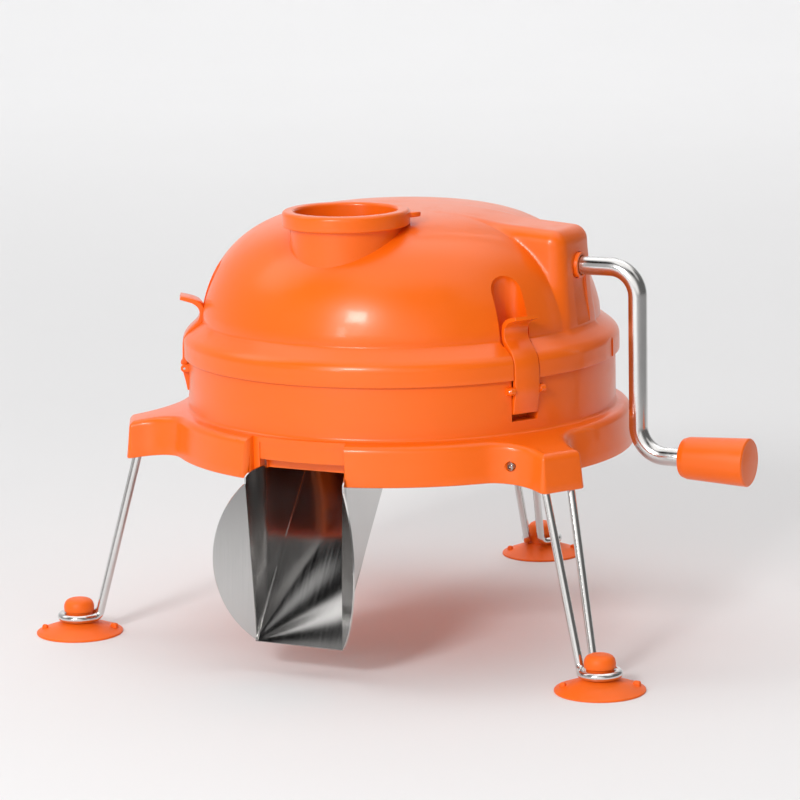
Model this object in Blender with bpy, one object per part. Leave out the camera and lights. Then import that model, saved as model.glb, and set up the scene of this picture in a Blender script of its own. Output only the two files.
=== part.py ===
"""Rotary vegetable cutter with a side crank, on three wire legs.

The lengths below are in millimetres and MM turns them into metres when a mesh is made. Z is up from
the floor, the drum's axis is the Z axis, the crank leaves the lid along +X and the chute opens
towards -Y. At the end the whole assembly is moved so that its footprint is centred on the origin.
"""

import math

import bmesh
import bpy
import numpy as np
from mathutils import Matrix, Vector

MM = 0.001

# Fits and walls
SEAT_GAP = 0.3
RUNNING_GAP = 0.3
LID_GAP = 0.6
PLASTIC_WALL = 2.6
SHEET = 0.8

# Drum and foot plate
DRUM_RADIUS = 110.4
DRUM_TOP = 150.0
FLOOR_UNDERSIDE = 112.4
PLATE_HEIGHT = 118.3
PLATE_SLOPE = 0.175
PLATE_FILLET = 1.6
SKIRT_RADIUS = 119.4
SKIRT_BOTTOM = 97.1
SKIRT_SLOPE = 0.13
SKIRT_DRAFT = 1.5
SKIRT_ROUND = 3.2
RIB_RING_DROP = 5.4
RIB_RING_OUT = 2.1
CIRCLE_STEPS = 10
FILLET_STEPS = 4
CORNER_STEPS = 2

# Lobes that carry the legs
LEG_COUNT = 3
FIRST_LEG_AZIMUTH = 90.0
LOBE_REACH = 143.0
LOBE_HALF_WIDTH = 13.0
LOBE_FILLET = 22.0
LOBE_CORNER = 3.0
LOBE_BLOCK_START = 117.0
LOBE_BLOCK_BOTTOM = 97.5

# Notch of the skirt and throat over the chute
NOTCH_HALF_ANGLE = 12.5
NOTCH_LEDGE = 0.4
THROAT_HALF_WIDTH = 22.1
THROAT_BACK = 61.5
THROAT_FRONT = 106.4
THROAT_BOTTOM = 101.5
THROAT_WALL = 2.2

# Lid
FLANGE_RADIUS = 112.5
FLANGE_BOTTOM = 143.2
FLANGE_CHAMFER = 2.2
FLANGE_CHAMFER_DEPTH = 0.9
FLANGE_FACE_TOP = 153.0
FLANGE_LIP = 1.8
SPIGOT_WALL = 2.8
DOME_RADIUS = 104.5
DOME_BASE = 144.0
DOME_TOP = 220.3
DOME_SIDE_POWER = 0.57
DOME_TOP_POWER = 0.85
DOME_FOOT_ANGLE = 14.0
DOME_STEPS = 7
DOME_INNER_STEPS = 4
LID_SEGMENTS = 44
LID_INNER_SEGMENTS = 28

# Feed chimney
CHIMNEY_DISTANCE = 58.4
CHIMNEY_BORE = 25.7
CHIMNEY_WALL = 2.5
CHIMNEY_TOP = 225.5
CHIMNEY_RIM_HEIGHT = 8.0
CHIMNEY_RIM_OUT = 3.8
CHIMNEY_RIM_ROUND = 1.4
CHIMNEY_DISC_GAP = 4.8
CHIMNEY_SEGMENTS = 28
LUG_AZIMUTH = 27.0
LUG_LENGTH = 5.5
LUG_WIDTH = 9.0
LUG_THICKNESS = 2.2

# Gear hump
HUMP_START = 20.0
HUMP_END = 100.3
HUMP_FOOT = 158.0
HUMP_SHOULDER = 204.5
HUMP_TOP = 215.4
HUMP_TOP_START = 56.0
HUMP_TOP_SLOPE = 0.115
HUMP_HALF_WIDTH = 18.8
HUMP_DRAFT = 0.06
HUMP_CORNER = 7.0
HUMP_FACE_BULGE = 1.4
HUMP_ROUND = 6.5
HUMP_PANEL_WIDTH = 15.0
HUMP_PANEL_DEPTH = 1.1

# Latches
LATCH_HALF_WIDTH = 7.2
LATCH_THICKNESS = 2.4
LATCH_SIDE_GAP = 0.5
LATCH_PIN_RADIUS = 1.2
LATCH_EYE_RADIUS = 2.6
LATCH_PIN_DISTANCE = 112.2
LATCH_PIN_HEIGHT = 140.0
LATCH_TAIL = 10.6
LATCH_TAB_REACH = 9.0
LATCH_TAB_HEIGHT = 173.5
EAR_WIDTH = 3.0
EAR_RADIUS = 2.6
SLOT_BOTTOM = 124.5
POCKET_HALF_WIDTH = 8.8
POCKET_DISTANCE = 91.5
POCKET_SHOULDER = 186.5
POCKET_BOTTOM = 161.0
POCKET_WALL = 2.4

# Crank
CRANK_HEIGHT = 194.3
CRANK_ROD_RADIUS = 4.75
CRANK_INNER_END = 16.0
CRANK_ARM_DISTANCE = 132.6
CRANK_THROW = 94.5
CRANK_BEND = 14.5
GRIP_START = 156.0
GRIP_LENGTH = 37.0
GRIP_INNER_RADIUS = 10.6
GRIP_OUTER_RADIUS = 12.1
GRIP_END_WALL = 3.2
BUSH_WALL = 1.45
BUSH_FLANGE = 2.6
BUSH_PROUD = 1.6
INNER_WALL_START = 45.0
INNER_WALL_THICKNESS = 5.0

# Bevel gears
GEAR_TEETH = 24
PINION_TEETH = 16
GEAR_MODULE = 2.25
GEAR_FACE = 8.0
TOOTH_ADDENDUM = 0.78
TOOTH_DEDENDUM = 1.1
TOOTH_PRESSURE_ANGLE = 20.0
TOOTH_BACKLASH = 0.7
GEAR_HUB_RADIUS = 9.0
GEAR_HUB_BOTTOM = 166.0
PINION_HUB_END = 41.0
GRUB_RADIUS = 1.5

# Spindle, bearings and gear cover
SPINDLE_RADIUS = 5.0
SPINDLE_TOP = 211.0
SPINDLE_BOTTOM = 113.5
SPINDLE_COLLAR_RADIUS = 7.6
SPINDLE_COLLAR_TOP = 154.5
SPINDLE_COLLAR_HEIGHT = 3.0
SPINDLE_BUSH_WALL = 1.7
TOP_BUSH_BOTTOM = 203.0
TOP_BUSH_TOP = 212.5
BOSS_WALL = 3.0
COVER_TOP = 163.0
COVER_THICKNESS = 2.7
COVER_RADIUS = 40.0
COVER_BOSS_BOTTOM = 155.2
COVER_CHIMNEY_CLEARANCE = 0.8
POST_RADIUS = 4.0
POST_DISTANCE = 35.0
POST_AZIMUTHS = (60.0, 180.0, 300.0)
COVER_SCREW_RADIUS = 1.6
COVER_SCREW_LENGTH = 9.0
BASE_BOSS_TOP = 124.0

# Cutting disc
DISC_RADIUS = 98.0
DISC_BOTTOM = 142.0
DISC_THICKNESS = 1.2
HUB_FLANGE_RADIUS = 24.0
HUB_FLANGE_THICKNESS = 3.7
HUB_BOSS_RADIUS = 8.7
BLADE_START = 31.0
BLADE_LENGTH = 58.0
BLADE_WIDTH = 14.0
BLADE_LIFT = 1.4
BLADE_SLOT_WIDTH = 8.0
BLADE_EDGE = 4.5
RIVET_RADIUS = 1.5
RIVET_HEAD_RADIUS = 2.6
RIVET_HEAD_HEIGHT = 0.9
HUB_RIVET_DISTANCE = 17.0
NUT_RADIUS = 12.0
NUT_HEIGHT = 6.5
NUT_LOBES = 6

# Legs and suction cups
WIRE_RADIUS = 2.1
WIRE_TOP = 105.5
WIRE_TOP_SPREAD = 8.0
WIRE_END_DISTANCE = 120.5
WIRE_KNEE_DISTANCE = 134.6
WIRE_FOOT_DISTANCE = 160.5
WIRE_FOOT_SPREAD = 4.2
WIRE_TOP_BEND = 4.5
WIRE_FOOT_BEND = 4.0
FOOT_DISTANCE = 170.8
RING_RADIUS = 9.2
RING_HEIGHT = 9.0
RING_OPENING = 50.0
CUP_RADIUS = 22.4
CUP_RIM_HEIGHT = 0.8
CUP_RIM_LAND = 1.7
CUP_BOSS_RADIUS = 10.0
CUP_WALL = 2.9
KNOB_OVERHANG = 0.7
KNOB_HEIGHT = 7.0
CUP_TAB_DISTANCE = 18.0
CUP_TAB_AZIMUTH = 27.0
LEG_SCREW_DISTANCE = 122.8
LEG_SCREW_HEAD_RADIUS = 2.3
LEG_SCREW_RADIUS = 1.5

# Chute
CHUTE_LIP_DISTANCE = 121.0
CHUTE_LIP_HEIGHT = 16.5
CHUTE_RAMP_TOP = 99.0
CHUTE_TOP = 110.0
CHUTE_WING_TOP = 95.3
CHUTE_NOSE_HEIGHT = 103.0
CHUTE_THROAT_GAP = 0.35
WING_ANGLE = 44.0
WING_SAGITTA = 19.0
WING_STEPS = 12
CHUTE_RIVET_PLACES = (72.0, 97.0)
CHUTE_RIVET_HEIGHT = 106.0

# Sides of the small round pieces
CUP_SEGMENTS = 20
SMALL_SEGMENTS = 6
BUSH_SEGMENTS = 16

# Colours in linear RGB
ORANGE = (0.9, 0.155, 0.012)
ORANGE_RUBBER = (0.85, 0.13, 0.012)
STEEL = (0.62, 0.61, 0.6)
SHEET_STEEL = (0.52, 0.52, 0.5)
NYLON = (0.78, 0.75, 0.68)
DARK_STEEL = (0.3, 0.3, 0.31)


# Helpers


def clear_scene():
    for obj in list(bpy.data.objects):
        bpy.data.objects.remove(obj, do_unlink=True)


def make_material(name, colour, roughness, metallic):
    material = bpy.data.materials.new(name)
    material.use_nodes = True
    shader = material.node_tree.nodes["Principled BSDF"]
    shader.inputs["Base Color"].default_value = (*colour, 1.0)
    shader.inputs["Roughness"].default_value = roughness
    shader.inputs["Metallic"].default_value = metallic
    return material


def polar(radius, azimuth, height=0.0):
    angle = math.radians(azimuth)
    return (radius * math.cos(angle), radius * math.sin(angle), height)


def turn_about_z(points, azimuth):
    angle = math.radians(azimuth)
    turn = np.array(
        [[math.cos(angle), -math.sin(angle), 0], [math.sin(angle), math.cos(angle), 0], [0, 0, 1]]
    )
    return np.asarray(points, float) @ turn.T


def object_from_mesh(name, bm, material=None, origin=(0, 0, 0)):
    """Scales the millimetre mesh to metres and puts the object's origin at the given point."""
    bmesh.ops.remove_doubles(bm, verts=bm.verts, dist=1e-4)
    bmesh.ops.recalc_face_normals(bm, faces=bm.faces)
    bmesh.ops.translate(bm, verts=bm.verts, vec=-Vector(origin))
    bmesh.ops.scale(bm, verts=bm.verts, vec=(MM, MM, MM))
    mesh = bpy.data.meshes.new(name)
    bm.to_mesh(mesh)
    bm.free()
    obj = bpy.data.objects.new(name, mesh)
    obj.location = Vector(origin) * MM
    bpy.context.scene.collection.objects.link(obj)
    if material:
        mesh.materials.append(material)
    return obj


def add_faces(bm, points, faces):
    verts = [bm.verts.new(point) for point in points]
    for face in faces:
        bm.faces.new([verts[index] for index in face])


def add_rings(bm, rings, wrap=False):
    """Joins equal rings of points by quads; the ends are capped, or joined to each other."""
    count = len(rings[0])
    rows = [[bm.verts.new(point) for point in ring] for ring in rings]
    pairs = list(zip(rows[:-1], rows[1:]))
    if wrap:
        pairs.append((rows[-1], rows[0]))
    for low, high in pairs:
        for index in range(count):
            after = (index + 1) % count
            bm.faces.new((low[index], low[after], high[after], high[index]))
    if not wrap:
        bm.faces.new(rows[0][::-1])
        bm.faces.new(rows[-1])


def revolve_rings(profile, segments, centre=(0, 0), phase=0.0):
    """One ring of points for each (radius, height) of the profile."""
    angles = np.arange(segments) * 2 * math.pi / segments + phase
    return [
        np.stack(
            [
                centre[0] + radius * np.cos(angles),
                centre[1] + radius * np.sin(angles),
                np.full(segments, height),
            ],
            axis=1,
        )
        for radius, height in profile
    ]


def turned(name, profile, segments, material=None, centre=(0, 0), origin=(0, 0, 0), wrap=True):
    """A lathe shape: a closed profile with a bore, or with wrap off a solid one from end to end."""
    bm = bmesh.new()
    add_rings(bm, revolve_rings(profile, segments, centre), wrap)
    return object_from_mesh(name, bm, material, origin)


def tube_profile(outer, inner, bottom, top):
    return [(outer, bottom), (outer, top), (inner, top), (inner, bottom)]


def add_prism(bm, outline, start, end):
    """Extrudes a closed outline of 3D points from start to end, which are offset vectors."""
    outline = np.asarray(outline, float)
    add_rings(bm, [outline + np.asarray(start), outline + np.asarray(end)])


def add_box(bm, low, high):
    x0, y0, z0 = low
    x1, y1, z1 = high
    outline = [(x0, y0, z0), (x1, y0, z0), (x1, y1, z0), (x0, y1, z0)]
    add_prism(bm, outline, (0, 0, 0), (0, 0, z1 - z0))


def add_turned_box(bm, low, high, azimuth):
    """A box along the azimuth: x is the distance from the drum's axis, y the side, z the height."""
    part = bmesh.new()
    add_box(part, low, high)
    bmesh.ops.rotate(part, verts=part.verts, matrix=Matrix.Rotation(math.radians(azimuth), 3, "Z"))
    merge_into(bm, part)


def merge_into(bm, part):
    mesh = bpy.data.meshes.new("scratch")
    part.to_mesh(mesh)
    part.free()
    bm.from_mesh(mesh)
    bpy.data.meshes.remove(mesh)


def add_rod(bm, start, end, radius, segments=16):
    """A straight round bar between two points."""
    start = Vector(start)
    along = Vector(end) - start
    turn = along.to_track_quat("Z", "Y").to_matrix()
    rings = []
    for distance in (0.0, along.length):
        ring = []
        for step in range(segments):
            angle = 2 * math.pi * step / segments
            offset = Vector((radius * math.cos(angle), radius * math.sin(angle), distance))
            ring.append(start + turn @ offset)
        rings.append(ring)
    add_rings(bm, rings)


def arc(centre, radius, start, end, steps):
    """Points of an arc in a plane, from one angle to the other in degrees, both ends included."""
    angles = np.radians(np.linspace(start, end, steps + 1))
    return [(centre[0] + radius * math.cos(a), centre[1] + radius * math.sin(a)) for a in angles]


def rounded_path(corners, radii, steps):
    """A polyline whose inner corners are replaced by arcs of the given radii."""
    path = [Vector(corners[0])]
    for index, radius in enumerate(radii):
        before, corner, after = (Vector(point) for point in corners[index : index + 3])
        back = (before - corner).normalized()
        ahead = (after - corner).normalized()
        half = back.angle(ahead) / 2
        centre = corner + (back + ahead).normalized() * radius / math.sin(half)
        first = corner + back * radius / math.tan(half) - centre
        last = corner + ahead * radius / math.tan(half) - centre
        sweep = first.angle(last)
        for step in range(steps + 1):
            share = step / steps
            one = math.sin((1 - share) * sweep) / math.sin(sweep)
            two = math.sin(share * sweep) / math.sin(sweep)
            path.append(centre + first * one + last * two)
    path.append(Vector(corners[-1]))
    return path


def wire(name, path, radius, resolution, material, origin=(0, 0, 0)):
    """A bent rod: a poly curve with a round bevel and filled ends."""
    curve = bpy.data.curves.new(name, "CURVE")
    curve.dimensions = "3D"
    curve.bevel_depth = radius * MM
    curve.bevel_resolution = resolution
    curve.use_fill_caps = True
    spline = curve.splines.new("POLY")
    spline.points.add(len(path) - 1)
    for point, place in zip(spline.points, path):
        point.co = (*((Vector(place) - Vector(origin)) * MM), 1.0)
    curve.materials.append(material)
    obj = bpy.data.objects.new(name, curve)
    obj.location = Vector(origin) * MM
    bpy.context.scene.collection.objects.link(obj)
    return obj


def combine(target, tool, operation):
    """Adds a Boolean to the target and hides the tool."""
    modifier = target.modifiers.new(tool.name, "BOOLEAN")
    modifier.operation = operation
    modifier.object = tool
    tool.hide_render = True
    tool.display_type = "WIRE"


def cut(target, tool):
    combine(target, tool, "DIFFERENCE")


def join(target, tool):
    combine(target, tool, "UNION")


def leg_azimuths():
    return [FIRST_LEG_AZIMUTH + index * 360.0 / LEG_COUNT for index in range(LEG_COUNT)]


# Base housing


def plate_height(radius):
    return PLATE_HEIGHT - PLATE_SLOPE * (radius - DRUM_RADIUS)


def skirt_bottom(radius):
    return SKIRT_BOTTOM - SKIRT_SLOPE * max(0.0, radius - SKIRT_RADIUS)


def base_outline(inset):
    """The plate's outline: a circle with three lobes, moved inwards by the inset."""
    side = LOBE_HALF_WIDTH + LOBE_FILLET
    centre = (math.sqrt((SKIRT_RADIUS + LOBE_FILLET) ** 2 - side**2), side)
    blend = math.degrees(math.atan2(centre[1], centre[0]))
    corner = max(LOBE_CORNER - inset, 0.3)
    tip = LOBE_REACH - inset
    half = LOBE_HALF_WIDTH - inset
    points = []
    for azimuth in leg_azimuths():
        gap = 360.0 / LEG_COUNT - 2 * blend
        for step in range(1, CIRCLE_STEPS):
            angle = azimuth - blend - gap + gap * step / CIRCLE_STEPS
            points.append(polar(SKIRT_RADIUS - inset, angle)[:2])
        fillet = LOBE_FILLET + inset
        right = arc((centre[0], -centre[1]), fillet, 180 - blend, 90, FILLET_STEPS)
        right += arc((tip - corner, corner - half), corner, -90, 0, CORNER_STEPS)
        left = [(x, -y) for x, y in reversed(right)]
        lobe = [(x, y, 0.0) for x, y in [*right, (tip, 0.0), *left]]
        points += [tuple(point[:2]) for point in turn_about_z(lobe, azimuth)]
    return np.array(points)


def lobe_outline(azimuth, inset):
    """The part of the inset outline that lies in one lobe, past the block's inner face."""
    way = np.array(polar(1.0, azimuth)[:2])
    inside = base_outline(0.0) @ way > LOBE_BLOCK_START
    first = int(np.argmax(inside & ~np.roll(inside, 1)))
    return np.roll(base_outline(inset), -first, axis=0)[: int(inside.sum())]


def ring_at(plan, height):
    """A ring over the plan; the height is a number or a function of the radius."""
    radii = np.hypot(plan[:, 0], plan[:, 1])
    heights = [height(radius) if callable(height) else height for radius in radii]
    return np.column_stack([plan, heights])


def make_base(orange):
    outline = base_outline(0.0)
    unit = outline / np.hypot(outline[:, 0], outline[:, 1])[:, None]
    floor_top = FLOOR_UNDERSIDE + PLASTIC_WALL
    drum_inner = DRUM_RADIUS - PLASTIC_WALL
    rib_outer = DRUM_RADIUS + RIB_RING_OUT
    rib_bottom = FLOOR_UNDERSIDE - RIB_RING_DROP
    rings = [
        ring_at(unit * drum_inner, floor_top),
        ring_at(unit * drum_inner, DRUM_TOP),
        ring_at(unit * DRUM_RADIUS, DRUM_TOP),
        ring_at(unit * DRUM_RADIUS, PLATE_HEIGHT + PLATE_FILLET),
        ring_at(unit * (DRUM_RADIUS + PLATE_FILLET), plate_height),
    ]
    for angle in (90, 45, 0):
        inset = SKIRT_DRAFT + SKIRT_ROUND * (1 - math.cos(math.radians(angle)))
        drop = SKIRT_ROUND * (1 - math.sin(math.radians(angle)))
        rings.append(ring_at(base_outline(inset), lambda r, drop=drop: plate_height(r) - drop))
    inner = base_outline(PLASTIC_WALL + SKIRT_DRAFT)
    rings += [
        ring_at(outline, skirt_bottom),
        ring_at(base_outline(PLASTIC_WALL), skirt_bottom),
        ring_at(inner, lambda r: plate_height(r) - PLASTIC_WALL - 1.0),
        ring_at(unit * rib_outer, lambda r: plate_height(r) - PLASTIC_WALL),
        ring_at(unit * rib_outer, rib_bottom),
        ring_at(unit * (rib_outer - PLASTIC_WALL), rib_bottom),
        ring_at(unit * (rib_outer - PLASTIC_WALL), FLOOR_UNDERSIDE),
    ]
    bm = bmesh.new()
    add_rings(bm, rings)
    base = object_from_mesh("base_housing", bm, orange)
    join(base, base_additions())
    cut(base, base_openings())
    cut(base, base_holes())
    return base


def base_additions():
    """Throat over the chute, blocks in the lobes and ears beside the latch slots."""
    bm = bmesh.new()
    half = THROAT_HALF_WIDTH
    floor = FLOOR_UNDERSIDE + PLASTIC_WALL / 2
    add_box(bm, (-half, -THROAT_FRONT, THROAT_BOTTOM), (half, -THROAT_BACK, floor))
    boss = spindle_bush_bore() + BOSS_WALL
    add_rings(bm, revolve_rings([(boss, floor), (boss, BASE_BOSS_TOP)], BUSH_SEGMENTS))
    sink = PLASTIC_WALL * 0.75
    for azimuth in leg_azimuths():
        low = lobe_outline(azimuth, PLASTIC_WALL / 2)
        high = lobe_outline(azimuth, PLASTIC_WALL / 2 + SKIRT_DRAFT)
        top = ring_at(high, lambda radius: plate_height(radius) - sink)
        add_rings(bm, [ring_at(low, LOBE_BLOCK_BOTTOM), top])
        add_ears(bm, azimuth)
    return object_from_mesh("base_additions", bm)


def add_ears(bm, azimuth):
    """A half-round lug that stands out of the drum; the latch slot parts it into two ears."""
    x, z = LATCH_PIN_DISTANCE, LATCH_PIN_HEIGHT
    inside = DRUM_RADIUS - PLASTIC_WALL / 2
    side = LATCH_HALF_WIDTH + LATCH_SIDE_GAP + EAR_WIDTH
    outline = [(inside, z - EAR_RADIUS)]
    outline += arc((x, z), EAR_RADIUS, -90, 90, 6)
    outline.append((inside, z + EAR_RADIUS))
    rings = [turn_about_z([(px, py, pz) for px, pz in outline], azimuth) for py in (-side, side)]
    add_rings(bm, rings)


def base_openings():
    """Throat, notch of the skirt, latch slots and channels for the leg wires."""
    bm = bmesh.new()
    half = THROAT_HALF_WIDTH - THROAT_WALL
    front = THROAT_FRONT - THROAT_WALL
    back = THROAT_BACK + THROAT_WALL
    past = PLASTIC_WALL * 2
    add_box(
        bm,
        (-half, -front, THROAT_BOTTOM - past),
        (half, -back, FLOOR_UNDERSIDE + past),
    )
    first, last = 270 - NOTCH_HALF_ANGLE, 270 + NOTCH_HALF_ANGLE
    outer = SKIRT_RADIUS + past
    inner = DRUM_RADIUS + RIB_RING_OUT + NOTCH_LEDGE
    outline = arc((0, 0), inner, first, last, 6) + arc((0, 0), outer, last, first, 6)
    outline = [(x, y, 0.0) for x, y in outline]
    add_prism(bm, outline, (0, 0, SKIRT_BOTTOM - past), (0, 0, PLATE_HEIGHT + past))
    slot = LATCH_HALF_WIDTH + LATCH_SIDE_GAP
    channel = WIRE_RADIUS + SEAT_GAP
    channel_end = wire_distance(LOBE_BLOCK_BOTTOM) + channel
    for azimuth in leg_azimuths():
        low = (DRUM_RADIUS - past, -slot, SLOT_BOTTOM)
        high = (DRUM_RADIUS + past, slot, DRUM_TOP + past)
        add_turned_box(bm, low, high, azimuth)
        for side in (-WIRE_TOP_SPREAD, WIRE_TOP_SPREAD):
            low = (WIRE_END_DISTANCE - SEAT_GAP, side - channel, SKIRT_BOTTOM - past)
            high = (channel_end, side + channel, WIRE_TOP + channel)
            add_turned_box(bm, low, high, azimuth)
    return object_from_mesh("base_openings", bm)


def spindle_bush_bore():
    """Radius of the bore that a spindle bush sits in."""
    return SPINDLE_RADIUS + RUNNING_GAP + SPINDLE_BUSH_WALL + SEAT_GAP


def leg_screw_span():
    """Side distances of a leg screw's head and tip, beside the lobe's middle line."""
    side = LOBE_HALF_WIDTH + LOBE_FILLET
    centre_x = math.sqrt((SKIRT_RADIUS + LOBE_FILLET) ** 2 - side**2)
    reach = math.sqrt(LOBE_FILLET**2 - (centre_x - LEG_SCREW_DISTANCE) ** 2)
    return side - reach, WIRE_TOP_SPREAD + WIRE_RADIUS + SEAT_GAP


def side_rings(spans, azimuth):
    """Rings about a leg screw's axis, from (distance beside the lobe's middle line, radius)."""
    angles = np.arange(SMALL_SEGMENTS) * 2 * math.pi / SMALL_SEGMENTS
    rings = []
    for side, radius in spans:
        x = LEG_SCREW_DISTANCE + radius * np.cos(angles)
        z = WIRE_TOP + radius * np.sin(angles)
        rings.append(turn_about_z(np.stack([x, np.full(len(x), -side), z], 1), azimuth))
    return rings


def base_holes():
    """Holes for the spindle's bush, the leg screws, the latch pins and the chute's rivets."""
    bm = bmesh.new()
    bore = spindle_bush_bore()
    span = [(bore, FLOOR_UNDERSIDE - 1.0), (bore, BASE_BOSS_TOP + 1.0)]
    add_rings(bm, revolve_rings(span, BUSH_SEGMENTS))
    head, tip = leg_screw_span()
    for azimuth in leg_azimuths():
        hole = LEG_SCREW_RADIUS + SEAT_GAP
        sink = LEG_SCREW_HEAD_RADIUS + SEAT_GAP
        floor = head - PLASTIC_WALL / 3
        spans = [(head + 4.0, sink), (floor, sink), (floor, hole), (tip - 1.0, hole)]
        add_rings(bm, side_rings(spans, azimuth))
        side = LATCH_HALF_WIDTH + LATCH_SIDE_GAP + EAR_WIDTH + 1.0
        ends = [(LATCH_PIN_DISTANCE, y, LATCH_PIN_HEIGHT) for y in (-side, side)]
        ends = turn_about_z(ends, azimuth)
        add_rod(bm, ends[0], ends[1], LATCH_PIN_RADIUS + SEAT_GAP, SMALL_SEGMENTS)
    for place in CHUTE_RIVET_PLACES:
        side = THROAT_HALF_WIDTH + 1.0
        start = (-side, -place, CHUTE_RIVET_HEIGHT)
        end = (side, -place, CHUTE_RIVET_HEIGHT)
        add_rod(bm, start, end, RIVET_RADIUS + SEAT_GAP, SMALL_SEGMENTS)
    return object_from_mesh("base_holes", bm)


# Lid


def dome_profile(inset, first_angle, steps):
    """Half of the dome from its foot to its top, as a superellipse moved inwards by the inset."""
    points = []
    for angle in np.linspace(first_angle, 90, steps + 1):
        turn = math.radians(angle)
        across = max(math.cos(turn), 0.0) ** DOME_SIDE_POWER
        rise = math.sin(turn) ** DOME_TOP_POWER
        radius = (DOME_RADIUS - inset) * across
        points.append((radius, DOME_BASE + (DOME_TOP - inset - DOME_BASE) * rise))
    return points[:-1] + [(0.5, DOME_TOP - inset)]


def dome_height(radius, inset=0.0):
    across = min(radius / (DOME_RADIUS - inset), 1.0) ** (1 / DOME_SIDE_POWER)
    rise = math.sin(math.acos(across)) ** DOME_TOP_POWER
    return DOME_BASE + (DOME_TOP - inset - DOME_BASE) * rise


def flange_profile():
    """The flange's outside, from its lower lip up over the shoulder to the dome's foot."""
    return [
        (DRUM_RADIUS - PLASTIC_WALL / 2, FLANGE_BOTTOM),
        (FLANGE_RADIUS - FLANGE_CHAMFER_DEPTH, FLANGE_BOTTOM),
        (FLANGE_RADIUS, FLANGE_BOTTOM + FLANGE_CHAMFER),
        (FLANGE_RADIUS, FLANGE_FACE_TOP),
        (FLANGE_RADIUS - 0.9, FLANGE_FACE_TOP + 2.7),
        (FLANGE_RADIUS - 3.4, FLANGE_FACE_TOP + 5.3),
        (FLANGE_RADIUS - 7.4, FLANGE_FACE_TOP + 8.0),
    ]


def dome_crease():
    """Where the dome's wall meets the shoulder."""
    return (FLANGE_RADIUS - 9.9, FLANGE_FACE_TOP + 10.4)


def hump_outline(half_width, end, corner):
    """The hump's plan: straight sides, round corners and a slightly bulged end face."""
    bulge = HUMP_FACE_BULGE
    right = [(HUMP_START, -half_width)]
    right += arc((end - corner - bulge, corner - half_width), corner, -90, 0, 4)
    right.append((end - bulge * 0.25, -half_width * 0.45))
    left = [(x, -y) for x, y in reversed(right)]
    return np.array([*right, (end, 0.0), *left])


def hump_rings(inset):
    top_drop = HUMP_ROUND + inset
    foot = HUMP_FOOT - (inset * 3)
    levels = [(foot, 0.0)]
    for angle in (0, 30, 60, 90):
        turn = math.radians(angle)
        inner = HUMP_ROUND * (1 - math.cos(turn))
        levels.append((HUMP_TOP - top_drop + HUMP_ROUND * math.sin(turn), inner))
    rings = []
    for height, shrink in levels:
        widen = HUMP_DRAFT * max(0.0, HUMP_SHOULDER - height)
        half = HUMP_HALF_WIDTH + widen - inset - shrink
        end = HUMP_END + widen - inset - shrink
        corner = max(HUMP_CORNER - inset - shrink * 0.5, 1.0)
        plan = hump_outline(half, end, corner)
        slope = HUMP_TOP_SLOPE if height > HUMP_FOOT else 0.0
        heights = height - slope * (plan[:, 0] - HUMP_TOP_START)
        rings.append(np.column_stack([plan, heights]))
    return rings


def chimney_profile():
    outer = CHIMNEY_BORE + CHIMNEY_WALL
    rim = outer + CHIMNEY_RIM_OUT
    under = CHIMNEY_TOP - CHIMNEY_RIM_HEIGHT
    soft = CHIMNEY_RIM_ROUND
    return [
        (outer, dome_height(CHIMNEY_DISTANCE + outer) - 8.0),
        (outer, under),
        (rim - soft / 2, under),
        (rim, under + soft / 2),
        (rim, CHIMNEY_TOP - soft),
        (rim - soft * 0.3, CHIMNEY_TOP - soft * 0.3),
        (rim - soft, CHIMNEY_TOP),
    ]


def make_lid(orange):
    dome = [dome_crease()]
    dome += dome_profile(0.0, DOME_FOOT_ANGLE, DOME_STEPS)
    profile = flange_profile() + dome
    bm = bmesh.new()
    add_rings(bm, revolve_rings(profile, LID_SEGMENTS))
    lid = object_from_mesh("lid_dome", bm, orange)
    hump = bmesh.new()
    add_rings(hump, hump_rings(0.0))
    join(lid, object_from_mesh("hump_outside", hump))
    join(lid, make_chimney_outside())
    cut(lid, make_lid_cavity())
    cut(lid, lid_openings())
    return lid


def make_chimney_outside():
    bm = bmesh.new()
    centre = (0.0, -CHIMNEY_DISTANCE)
    add_rings(bm, revolve_rings(chimney_profile(), CHIMNEY_SEGMENTS, centre))
    rim = CHIMNEY_BORE + CHIMNEY_WALL + CHIMNEY_RIM_OUT
    lug = bmesh.new()
    under = CHIMNEY_TOP - CHIMNEY_RIM_HEIGHT / 2
    low = (rim - PLASTIC_WALL, -LUG_WIDTH / 2, under)
    high = (rim + LUG_LENGTH, LUG_WIDTH / 2, under + LUG_THICKNESS)
    add_box(lug, low, high)
    turn = Matrix.Rotation(math.radians(LUG_AZIMUTH), 3, "Z")
    bmesh.ops.rotate(lug, verts=lug.verts, matrix=turn)
    bmesh.ops.translate(lug, verts=lug.verts, vec=(0, -CHIMNEY_DISTANCE, 0))
    chimney = object_from_mesh("chimney_outside", bm)
    join(chimney, object_from_mesh("chimney_lug", lug))
    return chimney


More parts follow.
